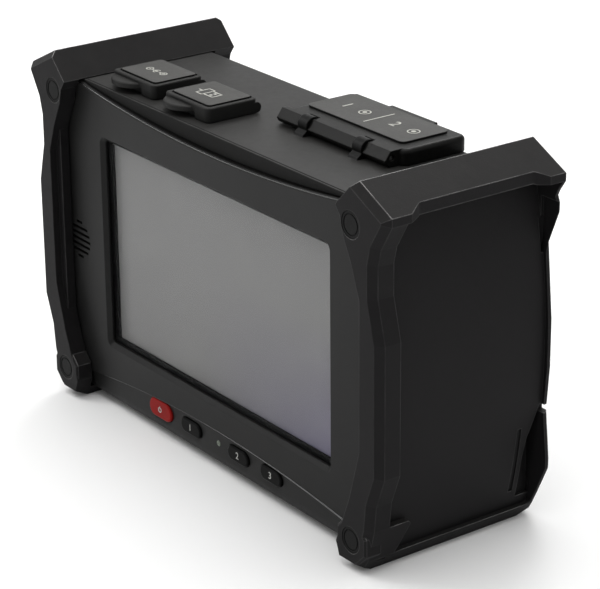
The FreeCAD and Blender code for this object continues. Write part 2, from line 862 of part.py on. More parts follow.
def topPanel():
    """Connector panel: the top wall with the visor, the lid knuckles and the posts of the port board."""
    posts = [rodZ(x, coverBackY - 3.1, portBoardPostRadius, portBoardTop, innerTop)
             for x in (portBoardLeft + 3.0, portBoardRight - 2.5)]
    panel = union([housingBlock().common(abovePanelSeam()), visor(),
                   knuckle(knuckleLeftX), knuckle(knuckleRightX)] + posts)
    for tool in [wellRoom(), rodX(hingeY, hingeZ, pinRadius, lidLeft, lidRight)] + coverWells():
        panel = panel.cut(tool)
    return panel.removeSplitter()


def fibreWell():
    """Liner between the panel and the port plate."""
    liner = block(portWellLeft - portWellWall, portWellRight + portWellWall,
                  portWellFront - portWellWall, innerBack, portPlateTop, innerTop)
    return liner.cut(wellRoom())


def batteryRoom():
    return block(wellLeft, wellRight, packFront, shellBack + 1, wellLow, wellHigh)


def batteryTray():
    walls = block(wellLeft - wellWall, wellRight + wellWall, packFront - wellWall, doorFront - ledgeThick,
                  wellLow - wellWall, wellHigh + wellWall)
    return walls.cut(batteryRoom())


def doorPlate(grow, y0, y1):
    reach = doorMargin + grow
    return roundedBlock(wellLeft - reach, wellRight + reach, y0, y1, wellLow - reach, wellHigh + reach,
                        doorRound, "y")


def doorScrewPlaces():
    inset = doorMargin / 2
    return [(x, z) for x in (wellLeft - inset, wellRight + inset)
            for z in (wellLow - inset, wellHigh + inset)]


def rearShell():
    """Tub with the back, bottom and side walls and the rim that the bezel closes on."""
    body = housingBlock().cut(abovePanelSeam())
    inner = block(-shellHalfWidth + shellWall, shellHalfWidth - shellWall, shellFront + mouthThick, innerBack,
                  innerBottom, shellTop)
    mouth = block(-shellHalfWidth + mouthRim, shellHalfWidth - mouthRim, shellFront - 1, shellFront + 3,
                  innerBottom, lipMiddleZ - gasketSet)
    body = body.cut(inner).cut(mouth)
    around = doorMargin + ledgeWidth
    ledge = block(wellLeft - around, wellRight + around, doorFront - ledgeThick, shellBack - 0.5,
                  wellLow - around, wellHigh + around)
    ends = ((shellFront, shellFront + bossLength), (shellBack - bossLength, shellBack))
    adds = [ledge] + [rodY(side * fixingX, z, bossRadius, y0, y1)
                      for side in (-1, 1) for z in fixingHeights for y0, y1 in ends]
    adds += [rodY(x, z, caseBossRadius, chassisBack, innerBack) for x, z in caseScrewPlaces]
    body = union([body] + adds).cut(abovePanelSeam())
    tools = [batteryRoom(), doorPlate(doorFit, doorFront, shellBack + 1)]
    for x, z in caseScrewPlaces:
        tools.append(rodY(x, z, caseScrewRadius + 0.1, chassisBack - 1, shellBack + 1))
        tools.append(rodY(x, z, caseHeadRadius + fixingFit, shellBack - caseHeadSeat, shellBack + 1))
    for side in (-1, 1):
        for z in fixingHeights:
            tools.append(rodY(side * fixingX, z, fixingRadius, shellFront - 1, shellFront + bossLength))
            tools.append(rodY(side * fixingX, z, fixingRadius, shellBack - bossLength, shellBack + 1))
    tools += [rodY(x, z, doorScrewRadius, doorFront - ledgeThick, shellBack) for x, z in doorScrewPlaces()]
    for tool in tools:
        body = body.cut(tool)
    return body.removeSplitter()


def housingPieces():
    save("rear_shell", rearShell())
    save("top_panel", topPanel())
    save("fibre_port_well", fibreWell())
    save("battery_tray", batteryTray())


# ---- port covers -------------------------------------------------------
def thumbTab(left, low):
    """Thin arched lip at the front edge of a cover."""
    root = coverFrontY + thumbTabRoot
    tab = prism([(left, root), ((left + thumbTabLength / 2, coverFrontY - thumbTabReach),
                (left + thumbTabLength, root))],
                lambda px, py: Vector(px, py, low), Vector(0, 0, thumbTabThick))
    return roundEdges(tab, thumbTabRound, lambda edge: flatAt(edge, "Z", low + thumbTabThick)
                      and edge.BoundBox.YLength > 1)


def portCover(x):
    half = coverWidth / 2
    upper = roundedBlock(x - half, x + half, coverFrontY, coverBackY - coverTopSetback, coverBottom, coverTop,
                         coverRound, "z")
    upper = roundEdges(upper, coverTopRound, lambda edge: flatAt(edge, "Z", coverTop))
    barrel = rodX(coverHingeY, coverHingeZ, coverHingeRadius, x - half, x + half)
    corner = block(x - half, x + half, coverHingeY - 3, coverHingeY, coverBottom, coverHingeZ + 1)
    upper = upper.cut(block(x - half, x + half, coverHingeY, coverBackY, coverBottom - 1, coverHingeZ))
    tabX, tabLow = x - half + thumbTabSide, coverBottom + thumbTabLift
    scoop = roundedBlock(tabX - 2, tabX + thumbTabLength + thumbTabSide, coverFrontY - 1,
                         coverFrontY + scoopDepth, coverBottom - 1, tabLow + thumbTabSide, 0.6, "y")
    plug = plugShape(x, 0.0, shellTop - coverPlugDepth, coverBottom + 0.5)
    core = plugShape(x, -coverWall, shellTop - coverPlugDepth - 1, coverTop - coverLabelThick - coverWall)
    cover = union([upper.cut(scoop), barrel, corner, thumbTab(tabX, tabLow), plug])
    room, side = coverHingeRadius + anchorRoom, anchorWidth / 2 + anchorSide
    for tool in (core, coverLabelShape(x, 0.1),
                 rodX(coverHingeY, coverHingeZ, room, x - side, x + side),
                 block(x - side, x + side, coverHingeY - room, coverBackY + 1, coverBottom - 1, coverHingeZ),
                 rodX(coverHingeY, coverHingeZ, coverHingePin + pinFit, x - coverPinHalf - 0.3,
                      x + coverPinHalf + 0.3)):
        cover = cover.cut(tool)
    return cover


def plugShape(x, grow, low, high):
    half = coverWidth / 2 - coverPlugMargin + grow
    return roundedBlock(x - half, x + half, coverPlugFront - grow, coverPlugBack + grow,
                        low, high, coverPlugRound, "z")


def coverLabelShape(x, grow):
    half = coverWidth / 2 - coverLabelInset + grow
    return roundedBlock(x - half, x + half, coverFrontY + coverLabelInset - grow,
                        coverBackY - coverLabelSetback + grow, coverTop - coverLabelThick,
                        coverTop + 2 * grow, coverLabelRound, "z")


def anchorRoot(x, top):
    half = anchorWidth / 2
    return block(x - half, x + half, coverHingeY - anchorHalfDepth, coverHingeY + anchorHalfDepth,
                 shellTop - anchorSink, top)


def coverAnchor(x):
    """Fixed middle knuckle of a cover hinge, with its root set in the panel."""
    half = anchorWidth / 2
    ring = rodX(coverHingeY, coverHingeZ, coverHingeRadius, x - half, x + half)
    return union([ring, anchorRoot(x, coverHingeZ)])


def coverPieces():
    places = (("power_port_cover", powerCoverX), ("usb_port_cover", usbCoverX))
    for name, x in places:
        save(name, portCover(x))
        save(name + "_label", coverLabelShape(x, 0.0))
    pins = [rodX(coverHingeY, coverHingeZ, coverHingePin, x - coverPinHalf, x + coverPinHalf)
            for name, x in places]
    anchors = [coverAnchor(x).cut(pin) for (name, x), pin in zip(places, pins)]
    save("port_cover_anchors", Part.makeCompound(anchors))
    save("port_cover_pins", Part.makeCompound(pins))


# ---- fibre lid ---------------------------------------------------------
def lidBarrel():
    """Hinge barrel with a slanted front facet and a flat top."""
    barrel = rodX(hingeY, hingeZ, hingeRadius, lidLeft, lidRight)
    past, lowFacet = hingeY - 2 * hingeRadius, hingeZ - lidFacetTop
    facet = prismYZ([(hingeY - lidFacetFront, lowFacet), (hingeY - lidFacetTop, lidTop),
                     (hingeY - lidFacetTop, lidTop + 3), (past, lidTop + 3), (past, lowFacet)],
                    lidLeft - 1, lidRight + 1)
    above = block(lidLeft - 1, lidRight + 1, past, hingeY + 2 * hingeRadius, lidTop, lidTop + 3)
    return barrel.cut(facet).cut(above)


def fibreLid():
    slab = block(lidBodyLeft, lidBodyRight, lidBodyFront, lidBack, lidBottom, lidTop)
    slab = roundEdges(slab, lidRound, lambda edge: runsAlong(edge, "z")
                      and edge.BoundBox.Center.x > lidBodyRight - 1)
    slab = roundEdges(slab, lidTopRound, lambda edge: flatAt(edge, "Z", lidTop)
                      and edge.BoundBox.XMax > lidBodyLeft + 1 and not flatAt(edge, "Y", lidBodyFront))
    neck = block(lidBodyLeft, lidRight, hingeY, lidBodyFront + lidNeck, lidBottom, lidTop)
    tab = block(lidTabMiddle - lidTabHalf, lidTabMiddle + lidTabHalf, lidBack - 2, lidBack + lidTabReach,
                lidTop - lidTabLow, lidTop - lidTabHigh)
    tab = roundEdges(tab, 1.0, lambda edge: flatAt(edge, "Y", lidBack + lidTabReach))
    lid = union([slab, neck, lidBarrel(), tab])
    lid = lid.cut(roundedBlock(lidBodyLeft + lidWall, lidBodyRight - lidWall, hingeY + lidInnerSetback,
                               lidBack - lidWall, lidBottom - 1, lidTop - lidCeiling, 1.5, "z"))
    for x in (knuckleLeftX, knuckleRightX):
        x0, x1 = x - knuckleGap, x + knuckleWidth + knuckleGap
        lid = lid.cut(rodX(hingeY, hingeZ, knuckleRadius + knuckleRoom, x0, x1))
        lid = lid.cut(block(x0, x1, hingeY - 2 * hingeRadius, hingeY, lidBottom - 1, lidTop + 1))
    return lid.cut(rodX(hingeY, hingeZ, pinRadius + pinFit, lidLeft - 1, lidRight + 1))


def lidPieces():
    save("fibre_lid", fibreLid())
    label = roundedBlock(lidLabelLeft, lidLabelRight, lidBodyFront + lidLabelSetFront,
                         lidBack - lidLabelSetBack, lidTop, lidTop + lidLabelThick, lidLabelRound, "z")
    save("fibre_lid_label", label)
    seals = [rodZ(x, portY, sealRadius, adapterTopZ + sealGap, lidTop - lidCeiling)
             for x in (otdrPortX, faultPortX)]
    save("fibre_lid_seals", Part.makeCompound(seals))
    save("fibre_lid_pin", rodX(hingeY, hingeZ, pinRadius, lidLeft + 1, lidRight - 1))


# ---- fibre ports -------------------------------------------------------
def fibreAdapter(x, threaded):
    half = adapterFlange / 2
    flange = roundedBlock(x - half, x + half, portY - half, portY + half, portPlateTop,
                          portPlateTop + adapterFlangeThick, adapterFlangeRound, "z")
    barrel = rodZ(x, portY, adapterRadius, portPlateTop, adapterTopZ)
    tail = rodZ(x, portY, adapterTailRadius, moduleTop, portPlateTop)
    body = union([flange, barrel, tail])
    if threaded:
        ring = rodZ(x, portY, adapterRingOuter, adapterTopZ - adapterRingDeep, adapterTopZ + 1)
        ring = ring.cut(rodZ(x, portY, adapterRingInner, adapterTopZ - adapterRingDeep - 1, adapterTopZ + 2))
        keyway = block(x - adapterKeyway / 2, x + adapterKeyway / 2, portY + adapterRingInner + 0.4,
                       portY + adapterRadius + 1, adapterTopZ - adapterKeywayDeep, adapterTopZ + 1)
        body = body.cut(ring).cut(keyway)
    body = body.cut(rodZ(x, portY, ferruleRadius, adapterTopZ - ferruleDepth, adapterTopZ + 1))
    for dx, dy in adapterScrewOffsets():
        body = body.cut(rodZ(x + dx, portY + dy, adapterScrewRadius, portPlateTop - 1, adapterTopZ))
    return body


def adapterScrewOffsets():
    reach = adapterFlange / 2 - adapterScrewInset
    return ((-reach, -reach), (reach, reach))


def portPieces():
    left, right = portWellLeft - portWellWall, portWellRight + portWellWall
    low = portPlateTop - portPlateThick
    plate = block(left, right, portWellFront - portWellWall, innerBack, low, portPlateTop)
    screws = []
    for x in (otdrPortX, faultPortX):
        plate = plate.cut(rodZ(x, portY, adapterTailRadius + 0.1, low - 1, portPlateTop + 1))
        for dx, dy in adapterScrewOffsets():
            plate = plate.cut(rodZ(x + dx, portY + dy, adapterScrewRadius, low - 1, portPlateTop + 1))
            top = portPlateTop + adapterFlangeThick
            shank = rodZ(x + dx, portY + dy, adapterScrewRadius, low, top)
            head = rodZ(x + dx, portY + dy, adapterScrewHead, top, top + adapterScrewHeadHigh)
            screws.append(union([shank, head]))
    save("fibre_port_plate", plate)
    save("otdr_port_adapter", fibreAdapter(otdrPortX, True))
    save("fault_locator_adapter", fibreAdapter(faultPortX, False))
    save("adapter_screws", Part.makeCompound(screws))


# ---- inside ------------------------------------------------------------
def screenPieces():
    half = windowHalfWidth + glassMargin
    save("touch_glass", block(-half, half, bezelBack, glassBack, windowBottom - glassMargin,
                              windowTop + glassMargin))
    module = block(-half + displayFit, half - displayFit, glassBack, displayBack,
                   windowBottom - glassMargin + displayFit, windowTop + glassMargin - displayFit)
    lit, low, high = windowHalfWidth - displayBorder, windowBottom + displayBorder, windowTop - displayBorder
    panelFront = glassBack + displayRim
    panel = block(-lit, lit, panelFront, panelFront + displayPanelThick, low, high)
    view = block(-lit, lit, glassBack - 1, panelFront + 0.1, low, high)
    save("display_module", module.cut(view).cut(panel))
    save("display_panel", panel)
    ring, hole = shellHalfWidth - gasketSet, shellHalfWidth - gasketSet - gasketWidth
    outer = block(-ring, ring, bezelBack, shellFront, shellBottom + 0.5, lipMiddleZ - 1)
    inner = block(-hole, hole, bezelBack - 1, shellFront + 1, innerBottom, lipMiddleZ - gasketSet)
    save("housing_gasket", outer.cut(inner))


def chassisPlate():
    wide = shellHalfWidth - chassisMargin
    plate = block(-wide, wide, displayBack, chassisBack, ridgeMiddleZ + 0.8, lipMiddleZ - 0.5)
    for x, z in caseScrewPlaces:
        plate = plate.cut(rodY(x, z, caseScrewRadius + 0.1, displayBack - 1, chassisBack + 1))
    return plate


def boardPieces():
    save("chassis_plate", chassisPlate())
    screwX = boardHalfWidth - boardScrewSide
    places = [(x, z) for x in (-screwX, screwX) for z in (boardLow + boardScrewEnd, boardTop - boardScrewEnd)]
    standoffs = [rodY(x, z, standoffRadius, chassisBack, mainBoardFront) for x, z in places]
    save("board_standoffs", Part.makeCompound(standoffs))
    save("main_board", block(-boardHalfWidth, boardHalfWidth, mainBoardFront, mainBoardBack,
                             boardLow, boardTop))
    screws = [rodY(x, z, boardScrewHead, mainBoardBack, mainBoardBack + boardScrewHigh) for x, z in places]
    save("board_screws", Part.makeCompound(screws))
    save("port_board", block(portBoardLeft, portBoardRight, chassisBack, coverBackY - 0.1,
                             portBoardTop - boardThick, portBoardTop))
    high = packTop - connectorDrop
    save("battery_connector", block(connectorLeft, connectorRight, mainBoardBack, packFront - wellWall,
                                    high - connectorHigh, high))


def socketPieces():
    top = innerTop - socketTopGap
    jackX, serviceX = powerCoverX + jackOffset, powerCoverX + serviceOffset
    jack = block(jackX - jackHalf, jackX + jackHalf, socketMiddle - jackHalfDepth,
                 socketMiddle + jackHalfDepth, portBoardTop, top)
    save("dc_jack", jack.cut(rodZ(jackX, socketMiddle, jackBore, innerTop - jackDeep, innerTop)))
    save("dc_jack_pin", rodZ(jackX, socketMiddle, jackPin, innerTop - jackDeep, top - 0.3))
    service = block(serviceX - serviceHalf, serviceX + serviceHalf, socketMiddle - serviceHalfDepth,
                    socketMiddle + serviceHalfDepth, portBoardTop, top)
    across, deep = serviceHalf - serviceWall, serviceHalfDepth - serviceWallDepth
    service = service.cut(block(serviceX - across, serviceX + across, socketMiddle - deep,
                                socketMiddle + deep, innerTop - serviceDeep, innerTop))
    save("service_socket", service)
    save("usb_socket", usbSocket(top))


def usbSocket(top):
    """Two stacked receptacles, each with a contact tongue."""
    usb = block(usbCoverX - usbHalf, usbCoverX + usbHalf, socketMiddle - usbHalfDepth,
                socketMiddle + usbHalfDepth, portBoardTop, top)
    across, deep = usbHalf - usbWall, usbSlotShare * usbHalfDepth
    floor = innerTop - usbDeep
    for side in (-1, 1):
        slotY = socketMiddle + side * usbHalfDepth / 2
        usb = usb.cut(block(usbCoverX - across, usbCoverX + across, slotY - deep, slotY + deep,
                            floor, innerTop))
        usb = usb.fuse(block(usbCoverX - usbTongueHalf, usbCoverX + usbTongueHalf, slotY + usbTongueSet,
                             slotY + usbTongueSet + usbTongueThick, floor - 1, floor + usbTongueLength - 1))
    return usb.removeSplitter()


def batteryDoor():
    packBack = packFront + packThick
    middles = [packBottom + share * (packTop - packBottom) for share in doorRibShares]
    ribs = [block(packLeft + doorRibInset, packRight - doorRibInset, packBack + 0.2, doorFront,
                  z - doorRibThick / 2, z + doorRibThick / 2) for z in middles]
    door = union([doorPlate(0.0, doorFront, shellBack)] + ribs)
    for x, z in doorScrewPlaces():
        door = door.cut(rodY(x, z, doorScrewRadius + 0.2, doorFront - 1, shellBack + 1))
        door = door.cut(rodY(x, z, doorScrewHead + 0.1, shellBack - 1, shellBack + 1))
    return door


def powerPieces():
    save("battery_pack", roundedBlock(packLeft, packRight, packFront, packFront + packThick,
                                      packBottom, packTop, packRound, "y"))
    save("battery_door", batteryDoor())
    screws = [union([rodY(x, z, doorScrewRadius, doorFront - doorScrewLength, shellBack - 1),
                     rodY(x, z, doorScrewHead, shellBack - 1, shellBack - 0.1)])
              for x, z in doorScrewPlaces()]
    save("battery_door_screws", Part.makeCompound(screws))
    save("optical_module", block(moduleLeft, moduleRight, moduleFront, innerBack, moduleBottom, moduleTop))
    save("speaker", roundedBlock(-shellHalfWidth + speakerInset, -shellHalfWidth + speakerInset + speakerWide,
                                 bezelBack, bezelBack + speakerThick, grilleZ - speakerTall / 2,
                                 grilleZ + speakerTall / 2, speakerRound, "y"))
    seat = shellBack - caseHeadSeat
    screws = [union([rodY(x, z, caseScrewRadius, bezelBack + caseThreadSkin, seat),
                     rodY(x, z, caseHeadRadius, seat, shellBack - 0.2)]) for x, z in caseScrewPlaces]
    save("case_screws", Part.makeCompound(screws))


bumperPieces()
save("front_bezel", frontBezel())
keyPieces()
housingPieces()
coverPieces()
lidPieces()
portPieces()
screenPieces()
boardPieces()
socketPieces()
powerPieces()
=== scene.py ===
import json
import math

import bpy
import numpy as np
from mathutils import Matrix, Vector


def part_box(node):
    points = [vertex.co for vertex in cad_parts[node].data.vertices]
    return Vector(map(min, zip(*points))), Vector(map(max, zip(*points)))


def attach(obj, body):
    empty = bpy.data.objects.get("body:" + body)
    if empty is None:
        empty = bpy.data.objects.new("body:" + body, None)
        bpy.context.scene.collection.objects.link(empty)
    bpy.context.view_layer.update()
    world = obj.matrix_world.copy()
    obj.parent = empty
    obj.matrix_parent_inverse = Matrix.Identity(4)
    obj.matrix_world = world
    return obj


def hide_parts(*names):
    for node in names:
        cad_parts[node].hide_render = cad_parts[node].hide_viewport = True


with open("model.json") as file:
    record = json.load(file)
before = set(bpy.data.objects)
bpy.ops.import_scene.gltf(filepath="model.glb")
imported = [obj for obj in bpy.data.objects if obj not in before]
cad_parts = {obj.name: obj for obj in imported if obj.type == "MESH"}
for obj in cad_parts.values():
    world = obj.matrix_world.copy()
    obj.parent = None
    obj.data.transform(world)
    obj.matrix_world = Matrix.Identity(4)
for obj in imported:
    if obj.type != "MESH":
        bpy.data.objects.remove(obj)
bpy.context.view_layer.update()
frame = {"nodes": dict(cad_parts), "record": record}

nodes = frame["nodes"]


# ---- node helpers ----
def addNode(tree, kind, **values):
    made = tree.nodes.new(kind)
    for name, value in values.items():
        setattr(made, name, value)
    return made


def setInputs(node, values):
    for name, value in values.items():
        node.inputs[name].default_value = value
    return node


def mathNode(tree, operation, first, second=None, clamp=False):
    made = addNode(tree, "ShaderNodeMath", operation=operation, use_clamp=clamp)
    for slot, value in enumerate((first, second)):
        if value is None:
            continue
        if isinstance(value, (int, float)):
            made.inputs[slot].default_value = value
        else:
            tree.links.new(value, made.inputs[slot])
    return made.outputs[0]


def stretch(tree, value, low, high, toLow=0.0, toHigh=1.0):
    made = addNode(tree, "ShaderNodeMapRange", clamp=True)
    setInputs(made, {"From Min": low, "From Max": high, "To Min": toLow, "To Max": toHigh})
    tree.links.new(value, made.inputs["Value"])
    return made.outputs["Result"]


# the colour sockets of a Mix node share their names with its other kinds
def mixNode(tree, share, first, second):
    made = addNode(tree, "ShaderNodeMix", data_type="RGBA")
    colourIn = [s for s in made.inputs if s.type == "RGBA"]
    colourOut = next(s for s in made.outputs if s.type == "RGBA")
    for socket, value in ((made.inputs[0], share), (colourIn[0], first), (colourIn[1], second)):
        if isinstance(value, bpy.types.NodeSocket):
            tree.links.new(value, socket)
        elif isinstance(value, tuple):
            socket.default_value = (*value, 1.0)
        else:
            socket.default_value = value
    return colourOut


def noise(tree, place, scale, detail=3.0, roughness=0.5):
    made = addNode(tree, "ShaderNodeTexNoise")
    setInputs(made, {"Detail": detail, "Roughness": roughness})
    tree.links.new(place, made.inputs["Vector"])
    if isinstance(scale, (int, float)):
        made.inputs["Scale"].default_value = scale
    else:
        tree.links.new(scale, made.inputs["Scale"])
    return made.outputs["Fac"]


def newGroup(name, inputs, outputs):
    tree = bpy.data.node_groups.new(name, "ShaderNodeTree")
    for label, kind, value in inputs:
        socket = tree.interface.new_socket(label, in_out="INPUT", socket_type=kind)
        if value is not None:
            socket.default_value = value
    for label, kind in outputs:
        tree.interface.new_socket(label, in_out="OUTPUT", socket_type=kind)
    return tree, addNode(tree, "NodeGroupInput").outputs, addNode(tree, "NodeGroupOutput").inputs


# ---- shared effects ----
# spark eroded mould grain: fine cells broken up by noise, and a slow tone change over the part
def makeGrainGroup():
    tree, given, out = newGroup("mouldGrain",
                                [("Place", "NodeSocketVector", None), ("Grain", "NodeSocketFloat", 2600.0),
                                 ("Cloud", "NodeSocketFloat", 28.0)],
                                [("Height", "NodeSocketFloat"), ("Tone", "NodeSocketFloat")])
    cells = addNode(tree, "ShaderNodeTexVoronoi", feature="SMOOTH_F1")
    cells.inputs["Smoothness"].default_value = 0.6
    tree.links.new(given["Place"], cells.inputs["Vector"])
    tree.links.new(given["Grain"], cells.inputs["Scale"])
    fine = noise(tree, given["Place"], mathNode(tree, "MULTIPLY", given["Grain"], 1.7), 2.0, 0.6)
    height = mathNode(tree, "ADD", mathNode(tree, "MULTIPLY", cells.outputs["Distance"], 0.7),
                      mathNode(tree, "MULTIPLY", fine, 0.6))
    tree.links.new(height, out["Height"])
    cloud = noise(tree, given["Place"], given["Cloud"], 4.0, 0.55)
    speck = noise(tree, given["Place"], mathNode(tree, "MULTIPLY", given["Cloud"], 14.0), 2.0, 0.5)
    tone = mathNode(tree, "ADD", mathNode(tree, "MULTIPLY", cloud, 0.7),
                    mathNode(tree, "MULTIPLY", speck, 0.3))
    tree.links.new(stretch(tree, tone, 0.34, 0.66), out["Tone"])
    return tree


# rubbed edges, where the rounded normal leaves the flat one and the surface is open, as wear and painted
# highlight;
# mostly those that look up on the part, where light from above picks them out, and painted shade in crevices
def makeRubGlintGroup():
    tree, given, out = newGroup("edgeRubGlint",
                                [("Place", "NodeSocketVector", None), ("Rounded", "NodeSocketVector", None),
                                 ("Open", "NodeSocketFloat", 1.0), ("Patch", "NodeSocketFloat", 90.0),
                                 ("Reach", "NodeSocketFloat", 0.06)],
                                [("Mask", "NodeSocketFloat"), ("CreaseShade", "NodeSocketFloat")])
    flat = addNode(tree, "ShaderNodeNewGeometry").outputs["True Normal"]
    along = addNode(tree, "ShaderNodeVectorMath", operation="DOT_PRODUCT")
    tree.links.new(flat, along.inputs[0])
    tree.links.new(given["Rounded"], along.inputs[1])
    bend = mathNode(tree, "SUBTRACT", 1.0, along.outputs["Value"], clamp=True)
    edge = mathNode(tree, "DIVIDE", bend, given["Reach"], clamp=True)
    patch = stretch(tree, noise(tree, given["Place"], given["Patch"], 5.0, 0.65), 0.34, 0.6, 0.25, 1.0)
    proud = stretch(tree, given["Open"], 0.62, 0.9)
    facing = addNode(tree, "ShaderNodeSeparateXYZ")
    turned = addNode(tree, "ShaderNodeVectorTransform", vector_type="NORMAL", convert_from="WORLD",
                     convert_to="OBJECT")
    tree.links.new(given["Rounded"], turned.inputs[0])
    tree.links.new(turned.outputs[0], facing.inputs[0])
    # painted highlight: edges that look up get most of it
    up = stretch(tree, facing.outputs["Z"], 0.4, 0.75, 0.1, 1.0)
    worn = mathNode(tree, "MULTIPLY", mathNode(tree, "MULTIPLY", edge, patch), up)
    tree.links.new(mathNode(tree, "MULTIPLY", worn, proud), out["Mask"])
    # painted shade: surfaces that the ambient occlusion finds closed in are darkened
    tree.links.new(stretch(tree, given["Open"], 0.25, 0.9, 1.0, 0.0), out["CreaseShade"])
    return tree


# dust that settles where a face looks up, thin and uneven
def makeDustGroup():
    tree, given, out = newGroup("settledDust",
                                [("Place", "NodeSocketVector", None), ("Amount", "NodeSocketFloat", 0.2)],
                                [("Mask", "NodeSocketFloat")])
    facing = addNode(tree, "ShaderNodeSeparateXYZ")
    tree.links.new(addNode(tree, "ShaderNodeTexCoord").outputs["Normal"], facing.inputs[0])
    up = stretch(tree, facing.outputs["Z"], 0.2, 1.0)
    cloud = stretch(tree, noise(tree, given["Place"], 60.0, 6.0, 0.7), 0.35, 0.75, 0.55, 1.0)
    specks = stretch(tree, noise(tree, given["Place"], 1500.0, 1.0, 0.5), 0.68, 0.78, 0.0, 0.6)
    both = mathNode(tree, "ADD", cloud, specks, clamp=True)
    lying = mathNode(tree, "MULTIPLY", both, up)
    tree.links.new(mathNode(tree, "MULTIPLY", lying, given["Amount"]), out["Mask"])
    return tree


# long fine lines along one axis, as brushing or turning leaves
def makeBrushGroup():
    tree, given, out = newGroup("brushLines",
                                [("Place", "NodeSocketVector", None),
                                 ("Stretch", "NodeSocketVector", (1.0, 30.0, 1.0)),
                                 ("Lines", "NodeSocketFloat", 260.0)],
                                [("Height", "NodeSocketFloat"), ("Tone", "NodeSocketFloat")])
    scaled = addNode(tree, "ShaderNodeVectorMath", operation="MULTIPLY")
    tree.links.new(given["Place"], scaled.inputs[0])
    tree.links.new(given["Stretch"], scaled.inputs[1])
    lines = noise(tree, scaled.outputs["Vector"], given["Lines"], 3.0, 0.6)
    tree.links.new(lines, out["Height"])
    tree.links.new(stretch(tree, lines, 0.3, 0.7), out["Tone"])
    return tree


groups = {"grain": makeGrainGroup(), "rubGlint": makeRubGlintGroup(), "dust": makeDustGroup(),
          "brush": makeBrushGroup()}
print("shader groups:", ", ".join(tree.name for tree in groups.values()))


def useGroup(tree, key, values, links):
    made = addNode(tree, "ShaderNodeGroup", node_tree=groups[key])
    setInputs(made, values)
    for name, socket in links.items():
        tree.links.new(socket, made.inputs[name])
    return made.outputs


def newMaterial(name):
    material = bpy.data.materials.new(name)
    material.use_nodes = True
    tree = material.node_tree
    shader = tree.nodes["Principled BSDF"]
    place = addNode(tree, "ShaderNodeTexCoord").outputs["Object"]
    return material, tree, shader, place


# ---- moulded plastics and rubbers ----
# colour and tint are the two ends of the tone, the rub share is how much of the rub colour the edges take as
# wear and painted highlight, dust how much settles, underTurn the heights and edge radius where the front
# rolls under
dustColour = (0.21, 0.205, 0.19)
